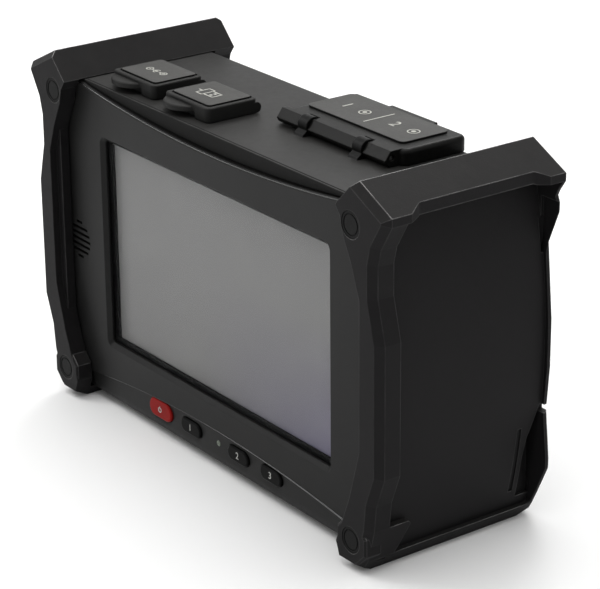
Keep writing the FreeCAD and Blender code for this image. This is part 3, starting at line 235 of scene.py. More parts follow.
# painted shade in creases: reach is the ambient occlusion distance, dark the part of the colour left, share
# how strongly it darkens
creaseShade = dict(reach=0.0025, dark=0.35, share=0.7)
mouldedLooks = {
    "housingPlastic": dict(colour=(0.016, 0.0157, 0.0153), tint=(0.023, 0.0226, 0.022), rough=0.48,
                           spread=0.06, grain=2400.0, depth=0.00004, cloud=26.0, round=0.0006, rubGlint=0.3,
                           rubGlintColour=(0.08, 0.08, 0.076), dust=0.04, specular=0.17),
    "bezelPlastic": dict(colour=(0.0068, 0.0068, 0.0068), tint=(0.0100, 0.0100, 0.0098), rough=0.42,
                         spread=0.06, grain=3000.0, depth=0.00003, cloud=22.0, round=0.0005, rubGlint=0.35,
                         rubGlintColour=(0.08, 0.08, 0.076), dust=0.012, specular=0.12,
                         underTurn=(0.0062, 0.0082, 0.0035)),
    # the bumper's pale rub colour is mostly painted highlight along its edges
    "bumperRubber": dict(colour=(0.0060, 0.0056, 0.0060), tint=(0.0100, 0.0096, 0.0100), rough=0.58,
                         spread=0.08, grain=1900.0, depth=0.00005, cloud=30.0, round=0.0005, rubGlint=0.9,
                         rubGlintColour=(0.42, 0.415, 0.41), dust=0.07, specular=0.10),
    "plugRubber": dict(colour=(0.0040, 0.0040, 0.0040), tint=(0.0065, 0.0065, 0.0065), rough=0.6,
                       spread=0.06, grain=2600.0, depth=0.00003, cloud=60.0, round=0.0003, rubGlint=0.35,
                       rubGlintColour=(0.04, 0.04, 0.04), dust=0.04, specular=0.10),
    "coverRubber": dict(colour=(0.0075, 0.0075, 0.0072), tint=(0.0115, 0.0115, 0.011), rough=0.52,
                        spread=0.06, grain=2600.0, depth=0.00003, cloud=50.0, round=0.0005, rubGlint=0.4,
                        rubGlintColour=(0.05, 0.05, 0.047), dust=0.06, specular=0.13),
    "lidPlastic": dict(colour=(0.0032, 0.0032, 0.0030), tint=(0.0052, 0.0052, 0.0048), rough=0.38,
                       spread=0.06, grain=2600.0, depth=0.00003, cloud=44.0, round=0.0005, rubGlint=0.35,
                       rubGlintColour=(0.04, 0.04, 0.037), dust=0.04, specular=0.11),
    "sealRubber": dict(colour=(0.008, 0.008, 0.008), tint=(0.013, 0.013, 0.013), rough=0.7, spread=0.05,
                       grain=3000.0, depth=0.00002, cloud=70.0, round=0.0002, rubGlint=0.2,
                       rubGlintColour=(0.03, 0.03, 0.03), dust=0.02, specular=0.15),
    "darkFittings": dict(colour=(0.012, 0.012, 0.0125), tint=(0.018, 0.018, 0.0185), rough=0.5, spread=0.06,
                         grain=2400.0, depth=0.00003, cloud=40.0, round=0.0003, rubGlint=0.35,
                         rubGlintColour=(0.06, 0.06, 0.06), dust=0.03, specular=0.25),
    "redKey": dict(colour=(0.165, 0.0042, 0.0034), tint=(0.23, 0.0068, 0.0055), rough=0.38, spread=0.06,
                   grain=4200.0, depth=0.00002, cloud=120.0, round=0.0003, rubGlint=0.3,
                   rubGlintColour=(0.34, 0.03, 0.02), dust=0.0, specular=0.06),
    "ridgeGloss": dict(colour=(0.010, 0.010, 0.010), tint=(0.014, 0.014, 0.014), rough=0.17, spread=0.03,
                       grain=4200.0, depth=0.00001, cloud=90.0, round=0.0001, rubGlint=0.0,
                       rubGlintColour=(0.05, 0.05, 0.05), dust=0.0, specular=0.8),
    "blackKey": dict(colour=(0.0022, 0.0022, 0.0022), tint=(0.0038, 0.0038, 0.0038), rough=0.36,
                     spread=0.06, grain=4200.0, depth=0.00002, cloud=120.0, round=0.0003, rubGlint=0.3,
                     rubGlintColour=(0.03, 0.03, 0.03), dust=0.0, specular=0.04),
}
mouldedLooks["connectorPanel"] = dict(mouldedLooks["housingPlastic"], zones=("visor", "knuckles"))
zoneLooks = {
    # the visor is the top face's plastic, darkened as painted shade, and its edges take more rub colour as
    # painted highlight
    "visor": dict(colour=(0.0096, 0.0096, 0.0094), tint=(0.0120, 0.0120, 0.0117), rough=1.0, rubGlint=0.5,
                  behindBezel=0.0058, underLid=0.00024),
    "knuckles": dict(colour=(0.0008, 0.0008, 0.0008), tint=(0.0015, 0.0015, 0.0014), rough=0.48, rubGlint=0.3,
                     underLid=0.00012),
}


# masks by place: the visor drops from the front edge of the top face and is darkened there as painted shade,
# the lid's knuckles stand above it
def zoneMask(tree, place, zone):
    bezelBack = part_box("front_bezel")[1].y
    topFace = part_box("fibre_lid")[0].z - zoneLooks[zone]["underLid"]
    axes = addNode(tree, "ShaderNodeSeparateXYZ")
    tree.links.new(place, axes.inputs[0])
    if zone == "visor":
        across = mathNode(tree, "LESS_THAN", axes.outputs["Y"], bezelBack - zoneLooks[zone]["behindBezel"])
        return mathNode(tree, "MULTIPLY", mathNode(tree, "LESS_THAN", axes.outputs["Z"], topFace), across)
    across = mathNode(tree, "GREATER_THAN", axes.outputs["Y"], bezelBack)
    return mathNode(tree, "MULTIPLY", mathNode(tree, "GREATER_THAN", axes.outputs["Z"], topFace), across)


# a larger edge radius below a height, where the front rolls under the case
def rollUnder(tree, rounded, place, look):
    axes = addNode(tree, "ShaderNodeSeparateXYZ")
    tree.links.new(place, axes.inputs[0])
    low, high, radius = look["underTurn"]
    radii = stretch(tree, axes.outputs["Z"], low, high, radius, look["round"])
    tree.links.new(radii, rounded.inputs["Radius"])


# the two tones of a finish, darkened where the shape is creased: painted shade
def creaseShadedTone(tree, tone, creaseShadeMask, look):
    creaseShadeColour = tuple(creaseShade["dark"] * value for value in look["colour"])
    return mixNode(tree, creaseShadeMask, mixNode(tree, tone, look["colour"], look["tint"]), creaseShadeColour)


def mouldedMaterial(name):
    look = mouldedLooks[name]
    material, tree, shader, place = newMaterial(name)
    rounded = addNode(tree, "ShaderNodeBevel", samples=6)
    rounded.inputs["Radius"].default_value = look["round"]
    if "underTurn" in look:
        rollUnder(tree, rounded, place, look)
    around = addNode(tree, "ShaderNodeAmbientOcclusion", samples=6)
    around.inputs["Distance"].default_value = creaseShade["reach"]
    grain = useGroup(tree, "grain", {"Grain": look["grain"], "Cloud": look["cloud"]}, {"Place": place})
    rubGlint = useGroup(tree, "rubGlint", {"Patch": 110.0, "Reach": 0.06},
                   {"Place": place, "Rounded": rounded.outputs["Normal"], "Open": around.outputs["AO"]})
    dust = useGroup(tree, "dust", {"Amount": look["dust"]}, {"Place": place})
    smooth, coarse = look["rough"] - look["spread"], look["rough"] + look["spread"]
    rough = stretch(tree, grain["Tone"], 0.0, 1.0, smooth, coarse)
    # painted shade in creases, from the ambient occlusion
    creaseShadeMask = mathNode(tree, "MULTIPLY", rubGlint["CreaseShade"], creaseShade["share"])
    body, settled, worn = creaseShadedTone(tree, grain["Tone"], creaseShadeMask, look), dust["Mask"], look["rubGlint"]
    # zones: the visor's darker tone is painted shade, the knuckles' dark tone is their own colour
    for zone in look.get("zones", ()):
        mask = zoneMask(tree, place, zone)
        body = mixNode(tree, mask, body, creaseShadedTone(tree, grain["Tone"], creaseShadeMask, zoneLooks[zone]))
        rough = mathNode(tree, "MAXIMUM", rough, mathNode(tree, "MULTIPLY", mask, zoneLooks[zone]["rough"]))
        worn = mathNode(tree, "MAXIMUM", worn, mathNode(tree, "MULTIPLY", mask, zoneLooks[zone]["rubGlint"]))
        settled = mathNode(tree, "MULTIPLY", settled, mathNode(tree, "SUBTRACT", 1.0, mask))
    # the edges take the rub colour: wear and painted highlight
    rubAndGlint = mixNode(tree, mathNode(tree, "MULTIPLY", rubGlint["Mask"], worn), body, look["rubGlintColour"])
    tree.links.new(mixNode(tree, settled, rubAndGlint, dustColour), shader.inputs["Base Color"])
    tree.links.new(rough, shader.inputs["Roughness"])
    bump = addNode(tree, "ShaderNodeBump")
    setInputs(bump, {"Strength": 0.6, "Distance": look["depth"]})
    tree.links.new(grain["Height"], bump.inputs["Height"])
    tree.links.new(rounded.outputs["Normal"], bump.inputs["Normal"])
    tree.links.new(bump.outputs["Normal"], shader.inputs["Normal"])
    shader.inputs["Specular IOR Level"].default_value = look["specular"]
    return material


# ---- metals ----
metalLooks = {
    "steel": dict(colour=(0.30, 0.30, 0.30), tint=(0.42, 0.42, 0.41), rough=0.34, lines=300.0,
                  along=(1.0, 1.0, 12.0), specular=0.5),
    "nickel": dict(colour=(0.58, 0.56, 0.52), tint=(0.70, 0.68, 0.63), rough=0.24, lines=420.0,
                   along=(14.0, 14.0, 1.0), specular=0.5),
    "aluminium": dict(colour=(0.52, 0.52, 0.53), tint=(0.66, 0.66, 0.67), rough=0.38, lines=220.0,
                      along=(1.0, 18.0, 18.0), specular=0.5),
    "displayFrame": dict(colour=(0.004, 0.004, 0.0045), tint=(0.007, 0.007, 0.0075), rough=0.5, lines=300.0,
                         along=(1.0, 12.0, 1.0), specular=0.1),
}


def metalMaterial(name):
    look = metalLooks[name]
    material, tree, shader, place = newMaterial(name)
    brush = useGroup(tree, "brush", {"Stretch": look["along"], "Lines": look["lines"]}, {"Place": place})
    grain = useGroup(tree, "grain", {"Grain": 1800.0, "Cloud": 50.0}, {"Place": place})
    body = mixNode(tree, brush["Tone"], look["colour"], look["tint"])
    dull = tuple(0.55 * value for value in look["colour"])
    spots = mathNode(tree, "MULTIPLY", stretch(tree, grain["Tone"], 0.6, 1.0), 0.5)
    tree.links.new(mixNode(tree, spots, body, dull), shader.inputs["Base Color"])
    tree.links.new(stretch(tree, brush["Tone"], 0.0, 1.0, look["rough"] - 0.06, look["rough"] + 0.1),
                   shader.inputs["Roughness"])
    bump = addNode(tree, "ShaderNodeBump")
    setInputs(bump, {"Strength": 0.5, "Distance": 0.00002})
    tree.links.new(brush["Height"], bump.inputs["Height"])
    tree.links.new(bump.outputs["Normal"], shader.inputs["Normal"])
    shader.inputs["Specular IOR Level"].default_value = look["specular"]
    shader.inputs["Metallic"].default_value = 0.0 if name == "displayFrame" else 1.0
    return material


# ---- circuit boards ----
boardLook = dict(mask=(0.010, 0.075, 0.034), track=(0.016, 0.115, 0.05), pad=(0.55, 0.50, 0.36), tracks=340.0,
                 rough=0.32)


# tracks are the borders of Voronoi cells, pads are the middles of a finer set of cells
def boardMaterial():
    material, tree, shader, place = newMaterial("board")
    tracks = addNode(tree, "ShaderNodeTexVoronoi", feature="DISTANCE_TO_EDGE")
    tree.links.new(place, tracks.inputs["Vector"])
    tracks.inputs["Scale"].default_value = boardLook["tracks"]
    line = stretch(tree, tracks.outputs["Distance"], 0.05, 0.09, 1.0, 0.0)
    pads = addNode(tree, "ShaderNodeTexVoronoi", feature="F1")
    tree.links.new(place, pads.inputs["Vector"])
    pads.inputs["Scale"].default_value = 2.4 * boardLook["tracks"]
    dot = stretch(tree, pads.outputs["Distance"], 0.12, 0.16, 1.0, 0.0)
    body = mixNode(tree, line, boardLook["mask"], boardLook["track"])
    tree.links.new(mixNode(tree, dot, body, boardLook["pad"]), shader.inputs["Base Color"])
    grain = useGroup(tree, "grain", {"Grain": 2600.0, "Cloud": 60.0}, {"Place": place})
    rough = stretch(tree, grain["Tone"], 0.0, 1.0, boardLook["rough"] - 0.05, boardLook["rough"] + 0.1)
    tree.links.new(rough, shader.inputs["Roughness"])
    bump = addNode(tree, "ShaderNodeBump")
    setInputs(bump, {"Strength": 0.4, "Distance": 0.00003})
    tree.links.new(line, bump.inputs["Height"])
    tree.links.new(bump.outputs["Normal"], shader.inputs["Normal"])
    return material


# ---- labels ----
# edge is painted shade on the plate's walls; the rub colour is wear and painted highlight on the edges
labelLook = dict(colour=(0.025, 0.025, 0.024), tint=(0.033, 0.033, 0.0312), rough=0.42, specular=0.17,
                 ink=(0.50, 0.50, 0.45), edge=(0.003, 0.003, 0.003), rubGlintColour=(0.10, 0.10, 0.095),
                 dustColour=(0.26, 0.25, 0.23))
keyInkColour = (0.50, 0.50, 0.48)


# printed film; faces that don't look up are the plate's walls, darkened as painted shade for the gap round
# the plate
def labelMaterial():
    material, tree, shader, place = newMaterial("labelFilm")
    rounded = addNode(tree, "ShaderNodeBevel", samples=6)
    rounded.inputs["Radius"].default_value = 0.0004
    grain = useGroup(tree, "grain", {"Grain": 5200.0, "Cloud": 70.0}, {"Place": place})
    dust = useGroup(tree, "dust", {"Amount": 0.10}, {"Place": place})
    rubGlint = useGroup(tree, "rubGlint", {"Open": 1.0, "Patch": 200.0, "Reach": 0.08},
                   {"Place": place, "Rounded": rounded.outputs["Normal"]})
    body = mixNode(tree, grain["Tone"], labelLook["colour"], labelLook["tint"])
    facing = addNode(tree, "ShaderNodeSeparateXYZ")
    tree.links.new(addNode(tree, "ShaderNodeTexCoord").outputs["Normal"], facing.inputs[0])
    side = stretch(tree, facing.outputs["Z"], 0.25, 0.6, 1.0, 0.0)
    # the edges take the rub colour: wear and painted highlight
    rubAndGlint = mixNode(tree, mathNode(tree, "MULTIPLY", rubGlint["Mask"], 0.3), body, labelLook["rubGlintColour"])
    # the plate's walls take the dark edge colour: painted shade
    rubAndGlint = mixNode(tree, side, rubAndGlint, labelLook["edge"])
    tree.links.new(mixNode(tree, dust["Mask"], rubAndGlint, labelLook["dustColour"]), shader.inputs["Base Color"])
    rough = stretch(tree, grain["Tone"], 0.0, 1.0, labelLook["rough"] - 0.05, labelLook["rough"] + 0.08)
    tree.links.new(rough, shader.inputs["Roughness"])
    bump = addNode(tree, "ShaderNodeBump")
    setInputs(bump, {"Strength": 0.4, "Distance": 0.00002})
    tree.links.new(grain["Height"], bump.inputs["Height"])
    tree.links.new(rounded.outputs["Normal"], bump.inputs["Normal"])
    tree.links.new(bump.outputs["Normal"], shader.inputs["Normal"])
    shader.inputs["Specular IOR Level"].default_value = labelLook["specular"]
    return material


def inkMaterial(name, colour):
    material, tree, shader, place = newMaterial(name)
    grain = useGroup(tree, "grain", {"Grain": 6000.0, "Cloud": 400.0}, {"Place": place})
    worn = tuple(0.7 * value for value in colour)
    tree.links.new(mixNode(tree, grain["Tone"], worn, colour), shader.inputs["Base Color"])
    tree.links.new(stretch(tree, grain["Tone"], 0.0, 1.0, 0.42, 0.6), shader.inputs["Roughness"])
    return material


# ---- screen ----
# the display's grey, lower and blue colours are painted reflection on the dark screen
screenLook = dict(greyReflection=(0.158, 0.158, 0.157), blueReflection=(0.106, 0.096, 0.158), low=(0.126, 0.125, 0.124),
                  rough=0.38, mesh=9000.0, smear=(0.30, 0.31, 0.29))


# painted reflection: the dark display is coloured grey, darker downward and bluish toward its lower right
# corner
def panelMaterial():
    material, tree, shader, place = newMaterial("displayPanel")
    low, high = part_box("display_panel")
    axes = addNode(tree, "ShaderNodeSeparateXYZ")
    tree.links.new(place, axes.inputs[0])
    right = stretch(tree, axes.outputs["X"], low.x * 0.2, high.x)
    down = stretch(tree, axes.outputs["Z"], high.z * 0.72, low.z)
    corner = mathNode(tree, "MULTIPLY", right, down)
    cloud = noise(tree, place, 26.0, 4.0, 0.5)
    blueReflectionShare = mathNode(tree, "MULTIPLY", corner, stretch(tree, cloud, 0.25, 0.7, 0.75, 1.0))
    # painted reflection: the grey darkens downward and turns blue toward the lower right corner
    body = mixNode(tree, mathNode(tree, "MULTIPLY", down, 0.7), screenLook["greyReflection"], screenLook["low"])
    body = mixNode(tree, blueReflectionShare, body, screenLook["blueReflection"])
    smear = stretch(tree, noise(tree, place, 60.0, 2.0, 0.5), 0.5, 0.8, 0.0, 0.08)
    tree.links.new(mixNode(tree, smear, body, screenLook["smear"]), shader.inputs["Base Color"])
    grid = noise(tree, place, screenLook["mesh"], 1.0, 0.5)
    tree.links.new(stretch(tree, grid, 0.3, 0.7, screenLook["rough"] - 0.04, screenLook["rough"] + 0.06),
                   shader.inputs["Roughness"])
    return material


glassLook = dict(rough=0.2, ior=1.3, smudge=0.10, clean=(0.02, 0.02, 0.02), greasy=(0.05, 0.05, 0.05))


# clear cover: lets the display show and mirrors by Fresnel, with faint finger smudges
def glassMaterial():
    material, tree, shader, place = newMaterial("touchGlass")
    smudge = stretch(tree, noise(tree, place, 42.0, 2.0, 0.4), 0.3, 0.75)
    body = mixNode(tree, smudge, glassLook["clean"], glassLook["greasy"])
    tree.links.new(body, shader.inputs["Base Color"])
    rough = stretch(tree, smudge, 0.0, 1.0, glassLook["rough"], glassLook["rough"] + glassLook["smudge"])
    tree.links.new(rough, shader.inputs["Roughness"])
    fresnel = addNode(tree, "ShaderNodeFresnel")
    fresnel.inputs["IOR"].default_value = glassLook["ior"]
    extra = mathNode(tree, "MULTIPLY", smudge, 0.03)
    share = mathNode(tree, "ADD", fresnel.outputs["Fac"], extra, clamp=True)
    behind = addNode(tree, "ShaderNodeNewGeometry").outputs["Backfacing"]
    share = mathNode(tree, "MULTIPLY", share, mathNode(tree, "SUBTRACT", 1.0, behind))
    clear = addNode(tree, "ShaderNodeBsdfTransparent")
    mix = addNode(tree, "ShaderNodeMixShader")
    tree.links.new(share, mix.inputs[0])
    tree.links.new(clear.outputs[0], mix.inputs[1])
    tree.links.new(shader.outputs[0], mix.inputs[2])
    tree.links.new(mix.outputs[0], tree.nodes["Material Output"].inputs["Surface"])
    shader.inputs["Metallic"].default_value = 0.0
    return material


lightGuideLook = dict(colour=(0.030, 0.048, 0.028), tint=(0.050, 0.070, 0.042), rough=(0.18, 0.32), coat=0.4)


def lightGuideMaterial():
    material, tree, shader, place = newMaterial("lightGuide")
    grain = useGroup(tree, "grain", {"Grain": 5000.0, "Cloud": 300.0}, {"Place": place})
    body = mixNode(tree, grain["Tone"], lightGuideLook["colour"], lightGuideLook["tint"])
    tree.links.new(body, shader.inputs["Base Color"])
    rough = stretch(tree, grain["Tone"], 0.0, 1.0, *lightGuideLook["rough"])
    tree.links.new(rough, shader.inputs["Roughness"])
    shader.inputs["Coat Weight"].default_value = lightGuideLook["coat"]
    return material


finishes = {name: mouldedMaterial(name) for name in mouldedLooks}
finishes.update({name: metalMaterial(name) for name in metalLooks})
finishes.update({"board": boardMaterial(), "labelFilm": labelMaterial(), "displayPanel": panelMaterial(),
                 "touchGlass": glassMaterial(), "lightGuide": lightGuideMaterial(),
                 "paleInk": inkMaterial("paleInk", labelLook["ink"]),
                 "keyInk": inkMaterial("keyInk", keyInkColour)})

finishOfSlot = {
    "housing_plastic": "housingPlastic", "bumper_rubber": "bumperRubber", "plug_rubber": "plugRubber",
    "cover_rubber": "coverRubber", "label_film": "labelFilm", "seal_rubber": "sealRubber",
    "screen_glass": "touchGlass", "screen_panel": "displayPanel", "display_frame": "displayFrame",
    "red_key": "redKey", "black_key": "blackKey", "light_guide": "lightGuide", "steel": "steel",
    "nickel": "nickel", "aluminium": "aluminium", "board": "board", "dark_fittings": "darkFittings",
}
finishOfNode = {"front_bezel": "bezelPlastic", "fibre_lid": "lidPlastic", "top_panel": "connectorPanel"}

for part in frame["record"]["subparts"]:
    node = nodes[part["node"]]
    node.data.materials.clear()
    node.data.materials.append(finishes[finishOfNode.get(part["node"], finishOfSlot[part["material_slot"]])])


print("finishes:", len(finishes), "on", len(nodes), "nodes")


# ---- printed marks ----
def addMesh(name, points, faces, finish, body):
    mesh = bpy.data.meshes.new(name)
    mesh.from_pydata(points.tolist(), [], [list(face) for face in faces])
    mesh.update()
    made = bpy.data.objects.new(name, mesh)
    bpy.context.scene.collection.objects.link(made)
    mesh.materials.append(finishes[finish])
    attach(made, body)
    return made


# a flat bar swept on an arc: radius r from angle a to b, w wide, t thick, as a closed box section
def arcBar(radius, start, end, width, thick, steps=40):
    turn = np.linspace(math.radians(start), math.radians(end), steps)
    inner, outer = radius - width / 2, radius + width / 2
    ring = np.array([(inner, 0), (outer, 0), (outer, thick), (inner, thick)])
    points = np.stack([np.outer(np.cos(turn), ring[:, 0]), np.outer(np.sin(turn), ring[:, 0]),
                       np.tile(ring[:, 1], (steps, 1))], axis=2).reshape(-1, 3)
    step, side = np.meshgrid(np.arange(steps - 1), np.arange(4), indexing="ij")
    a, b = step * 4 + side, step * 4 + (side + 1) % 4
    faces = np.stack([a, a + 4, b + 4, b], axis=2).reshape(-1, 4)
    ends = np.array([[0, 1, 2, 3], np.array([3, 2, 1, 0]) + 4 * (steps - 1)])
    return points, np.concatenate([faces, ends])


# a straight flat bar from one point to another, w wide, t thick
def straightBar(x0, y0, x1, y1, width, thick):
    way = np.array([x1 - x0, y1 - y0], float)
    side = np.array([-way[1], way[0]]) / np.hypot(*way) * width / 2
    flat = np.array([(x0, y0) - side, (x1, y1) - side, (x1, y1) + side, (x0, y0) + side])
    points = np.concatenate([np.c_[flat, np.zeros(4)], np.c_[flat, np.full(4, thick)]])
    faces = np.array([[3, 2, 1, 0], [4, 5, 6, 7], [0, 1, 5, 4], [1, 2, 6, 5], [2, 3, 7, 6], [3, 0, 4, 7]])
    return points, faces


def joined(shapes):
    points, faces, count = [], [], 0
    for shapePoints, shapeFaces in shapes:
        points.append(shapePoints)
        faces.append(shapeFaces + count)
        count += len(shapePoints)
    return np.concatenate(points), np.concatenate(faces)


def placed(points, spot, lean=0.0):
    rotation = Matrix.Rotation(math.radians(lean), 3, "X")
    return points @ np.array(rotation).T + np.array(spot)


# the font's size is its line height, so a figure of a given height takes fontScale times that
markLook = dict(thick=0.00006, keyNumber=0.0026, lidNumber=0.0046, line=0.0005, lift=0.00001, fontScale=1.42)
keySignLook = dict(radius=0.0009, start=125, end=415, bar=(0.0002, 0.0013), line=0.0003)
lidSignLook = dict(split=0.52, margin=0.0035, aside=0.006, numberAside=0.004,
                   ring=0.0021, ringLine=0.0004, dot=0.00045, dotLine=0.0008)


# a number as a thin mesh standing on the surface
def numberMark(name, text, height, spot, lean, finish, body):
    curve = bpy.data.curves.new(name + "Text", "FONT")
    curve.body, curve.size, curve.extrude = text, height * markLook["fontScale"], markLook["thick"] / 2
    curve.align_x, curve.align_y, curve.resolution_u = "CENTER", "CENTER", 3
    holder = bpy.data.objects.new(name + "Text", curve)
    bpy.context.scene.collection.objects.link(holder)
    bpy.context.view_layer.update()
    mesh = bpy.data.meshes.new_from_object(holder)
    points = np.zeros(len(mesh.vertices) * 3)
    mesh.vertices.foreach_get("co", points)
    points = placed(points.reshape(-1, 3), spot, lean)
    mesh.vertices.foreach_set("co", points.ravel())
    mesh.update()
    bpy.data.objects.remove(holder)
    made = bpy.data.objects.new(name, mesh)
    mesh.name = name
    bpy.context.scene.collection.objects.link(made)
    mesh.materials.clear()
    mesh.materials.append(finishes[finish])
    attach(made, body)


def keyMarks():
    for name in ("function_key_1", "function_key_2", "function_key_3"):
        low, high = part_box(name)
        front = low.y - markLook["thick"] / 2 - 2 * markLook["lift"]
        spot = ((low.x + high.x) / 2, front, (low.z + high.z) / 2)
        numberMark(name + "_number", name[-1], markLook["keyNumber"], spot, 90.0, "keyInk", name)
    low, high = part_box("power_key")
    look, thick = keySignLook, markLook["thick"]
    barLow, barHigh = look["bar"]
    points, faces = joined([arcBar(look["radius"], look["start"], look["end"], look["line"], thick),
                            straightBar(0.0, barLow, 0.0, barHigh, look["line"], thick)])
    points = placed(points, ((low.x + high.x) / 2, low.y - markLook["lift"], (low.z + high.z) / 2), 90.0)
    addMesh("power_key_sign", points, faces, "keyInk", "power_key")


# a round port with its ferrule: a ring with a dot
def portSign(x, y):
    look, thick = lidSignLook, markLook["thick"]
    ring, rim = arcBar(look["ring"], 0, 360, look["ringLine"], thick)
    dot, core = arcBar(look["dot"], 0, 360, look["dotLine"], thick, 24)
    return (ring + (x, y, 0), rim), (dot + (x, y, 0), core)


def lidMarks():
    low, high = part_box("fibre_lid_label")
    middle, top = (low.y + high.y) / 2, high.z + markLook["lift"]
    split = low.x + lidSignLook["split"] * (high.x - low.x)
    fields = ((low.x + split) / 2, (high.x + split) / 2)
    margin, aside = lidSignLook["margin"], lidSignLook["aside"]
    shapes = [straightBar(split, low.y + margin, split, high.y - margin, markLook["line"], markLook["thick"])]
    for field in fields:
        shapes += portSign(field + aside, middle)
    points, faces = joined(shapes)
    addMesh("fibre_lid_signs", placed(points, (0, 0, top)), faces, "paleInk", "fibre_lid")
    for text, field in zip("12", fields):
        spot = (field - lidSignLook["numberAside"], middle, top + markLook["thick"] / 2)
        numberMark("fibre_lid_number_" + text, text, markLook["lidNumber"], spot, 0.0, "paleInk", "fibre_lid")


coverPlateLook = dict(inset=0.00045, corner=0.0014, round=0.00012, rise=0.00045, dome=0.00006, steps=5,
                      domeInsets=(0.0020, 0.0050), domeShare=0.7)


# outline of a rounded rectangle about the origin: quarter circles joined by straight sides
def roundedOutline(halfX, halfY, corner, steps=8):
    turn = np.linspace(0, math.pi / 2, steps)
    quarter = np.stack([np.cos(turn), np.sin(turn)], axis=1) * corner
    centres = np.array([(1, 1), (-1, 1), (-1, -1), (1, -1)]) * (halfX - corner, halfY - corner)
    turns = [np.array([[np.cos(a), np.sin(a)], [-np.sin(a), np.cos(a)]]) for a in np.arange(4) * math.pi / 2]
    return np.concatenate([quarter @ turned + centre for turned, centre in zip(turns, centres)])


# rings of one outline stacked into a closed skin; each ring joins the next, both ends are capped
def ringSkin(rings):
    count, around = len(rings), len(rings[0])
    row, side = np.meshgrid(np.arange(count - 1), np.arange(around), indexing="ij")
    a, b = row * around + side, row * around + (side + 1) % around
    walls = np.stack([a, b, b + around, a + around], axis=2).reshape(-1, 4).tolist()
    caps = [list(range(around))[::-1], list(range((count - 1) * around, count * around))]
    return np.concatenate(rings), walls + caps


# plate in a cover's recess: wall, rounded rim by sine and cosine of the same turn, then a shallow dome
def coverPlate(name):
    low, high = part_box(name + "_label")
    middle = np.array([(low.x + high.x) / 2, (low.y + high.y) / 2])
    edge = coverPlateLook["inset"]
    halfX, halfY = (high.x - low.x) / 2 - edge, (high.y - low.y) / 2 - edge
    radius, top = coverPlateLook["round"], high.z + coverPlateLook["rise"]
    turn = np.linspace(0, math.pi / 2, coverPlateLook["steps"])
    insets = [0.0, *(radius * (1 - np.cos(turn))), *coverPlateLook["domeInsets"]]
    dome = coverPlateLook["dome"]
    heights = [low.z, *(top - radius + radius * np.sin(turn)),
               top + coverPlateLook["domeShare"] * dome, top + dome]
    rings = []
    for inset, height in zip(insets, heights):
        corner = max(coverPlateLook["corner"] - inset, 0.0002)
        flat = roundedOutline(halfX - inset, halfY - inset, corner) + middle
        rings.append(np.c_[flat, np.full(len(flat), height)])
    points, faces = ringSkin(rings)
    plate = addMesh(name + "_plate", points, faces, "labelFilm", name)
    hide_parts(name + "_label")


coverSignLook = dict(line=0.0005, fineShare=0.8, ring=0.0013, gap=0.0044, arm=0.0007, sunk=0.00003,
                     forward=0.0008)


# direct current sign: ring with a bar, dot in an open arc, ring with a cross, joined by lines
def currentSign():
    look, thick = coverSignLook, markLook["thick"]
    line, ring, gap, arm = look["line"] * look["fineShare"], look["ring"], look["gap"], look["arm"]
    bars = [(-gap - arm, 0, -gap + arm, 0), (gap - arm, 0, gap + arm, 0), (gap, -arm, gap, arm),
            (-gap + ring, 0, -0.0006, 0), (ring * 1.1, 0, gap - ring, 0)]
    shapes = [straightBar(*bar, line, thick) for bar in bars]
    for x, start, end in ((-gap, 0, 360), (gap, 0, 360), (0, 60, 300)):
        points, faces = arcBar(ring, start, end, line, thick)
        shapes.append((points + (x, 0, 0), faces))
    shapes.append(arcBar(0.0003, 0, 360, 0.0006, thick, 20))
    return joined(shapes)


# flat plug sign: a shell with two windows and its cable
def plugSign():
    thick, line = markLook["thick"], coverSignLook["line"]
    bars = [(-0.0010, -0.0021, 0.0044, -0.0021), (-0.0010, 0.0021, 0.0044, 0.0021),
            (0.0044, -0.00235, 0.0044, 0.00235), (-0.0010, -0.0029, -0.0010, 0.0029),
            (-0.0044, -0.0029, -0.0010, -0.0029), (-0.0044, 0.0029, -0.0010, 0.0029),
            (-0.0044, -0.00315, -0.0044, 0.00315), (-0.0066, 0, -0.0044, 0)]
    shapes = [straightBar(*bar, line, thick) for bar in bars]
    shapes += [straightBar(0.0014, y, 0.0026, y, 0.0010, thick) for y in (-0.0009, 0.0009)]
    return joined(shapes)


def coverMarks():
    for name, sign in (("power_port_cover", currentSign()), ("usb_port_cover", plugSign())):
        coverPlate(name)
        low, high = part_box(name + "_label")
        top = high.z + coverPlateLook["rise"] + coverPlateLook["dome"] - coverSignLook["sunk"]
        spot = ((low.x + high.x) / 2, (low.y + high.y) / 2 - coverSignLook["forward"], top)
        addMesh(name + "_sign", placed(sign[0], spot), sign[1], "paleInk", name)


# arc is the radius of the bead's arch, negative where it falls to the ends; radius runs from left to right
beadLook = {
    "ridge_bead": dict(middle=0.0164, arc=-0.5838, end=0.0835, radius=(0.00010, 0.00042), back=0.00008,
                       finish="ridgeGloss"),
    "lip_bead": dict(middle=0.1200, arc=0.5876, end=0.0835, radius=(0.00026, 0.00030), back=0.00042,
                     finish="ridgeGloss"),
    # a dark rubber bead along the visor's top edge: painted shade standing in for the shadow line where the
    # visor steps down
    "visor_shadow_bead": dict(middle=0.12675, arc=0.0, end=0.0835, radius=(0.00045, 0.00045), back=0.00292,
                       finish="sealRubber"),
}
glassSet = 0.0025
taperStart = -0.02


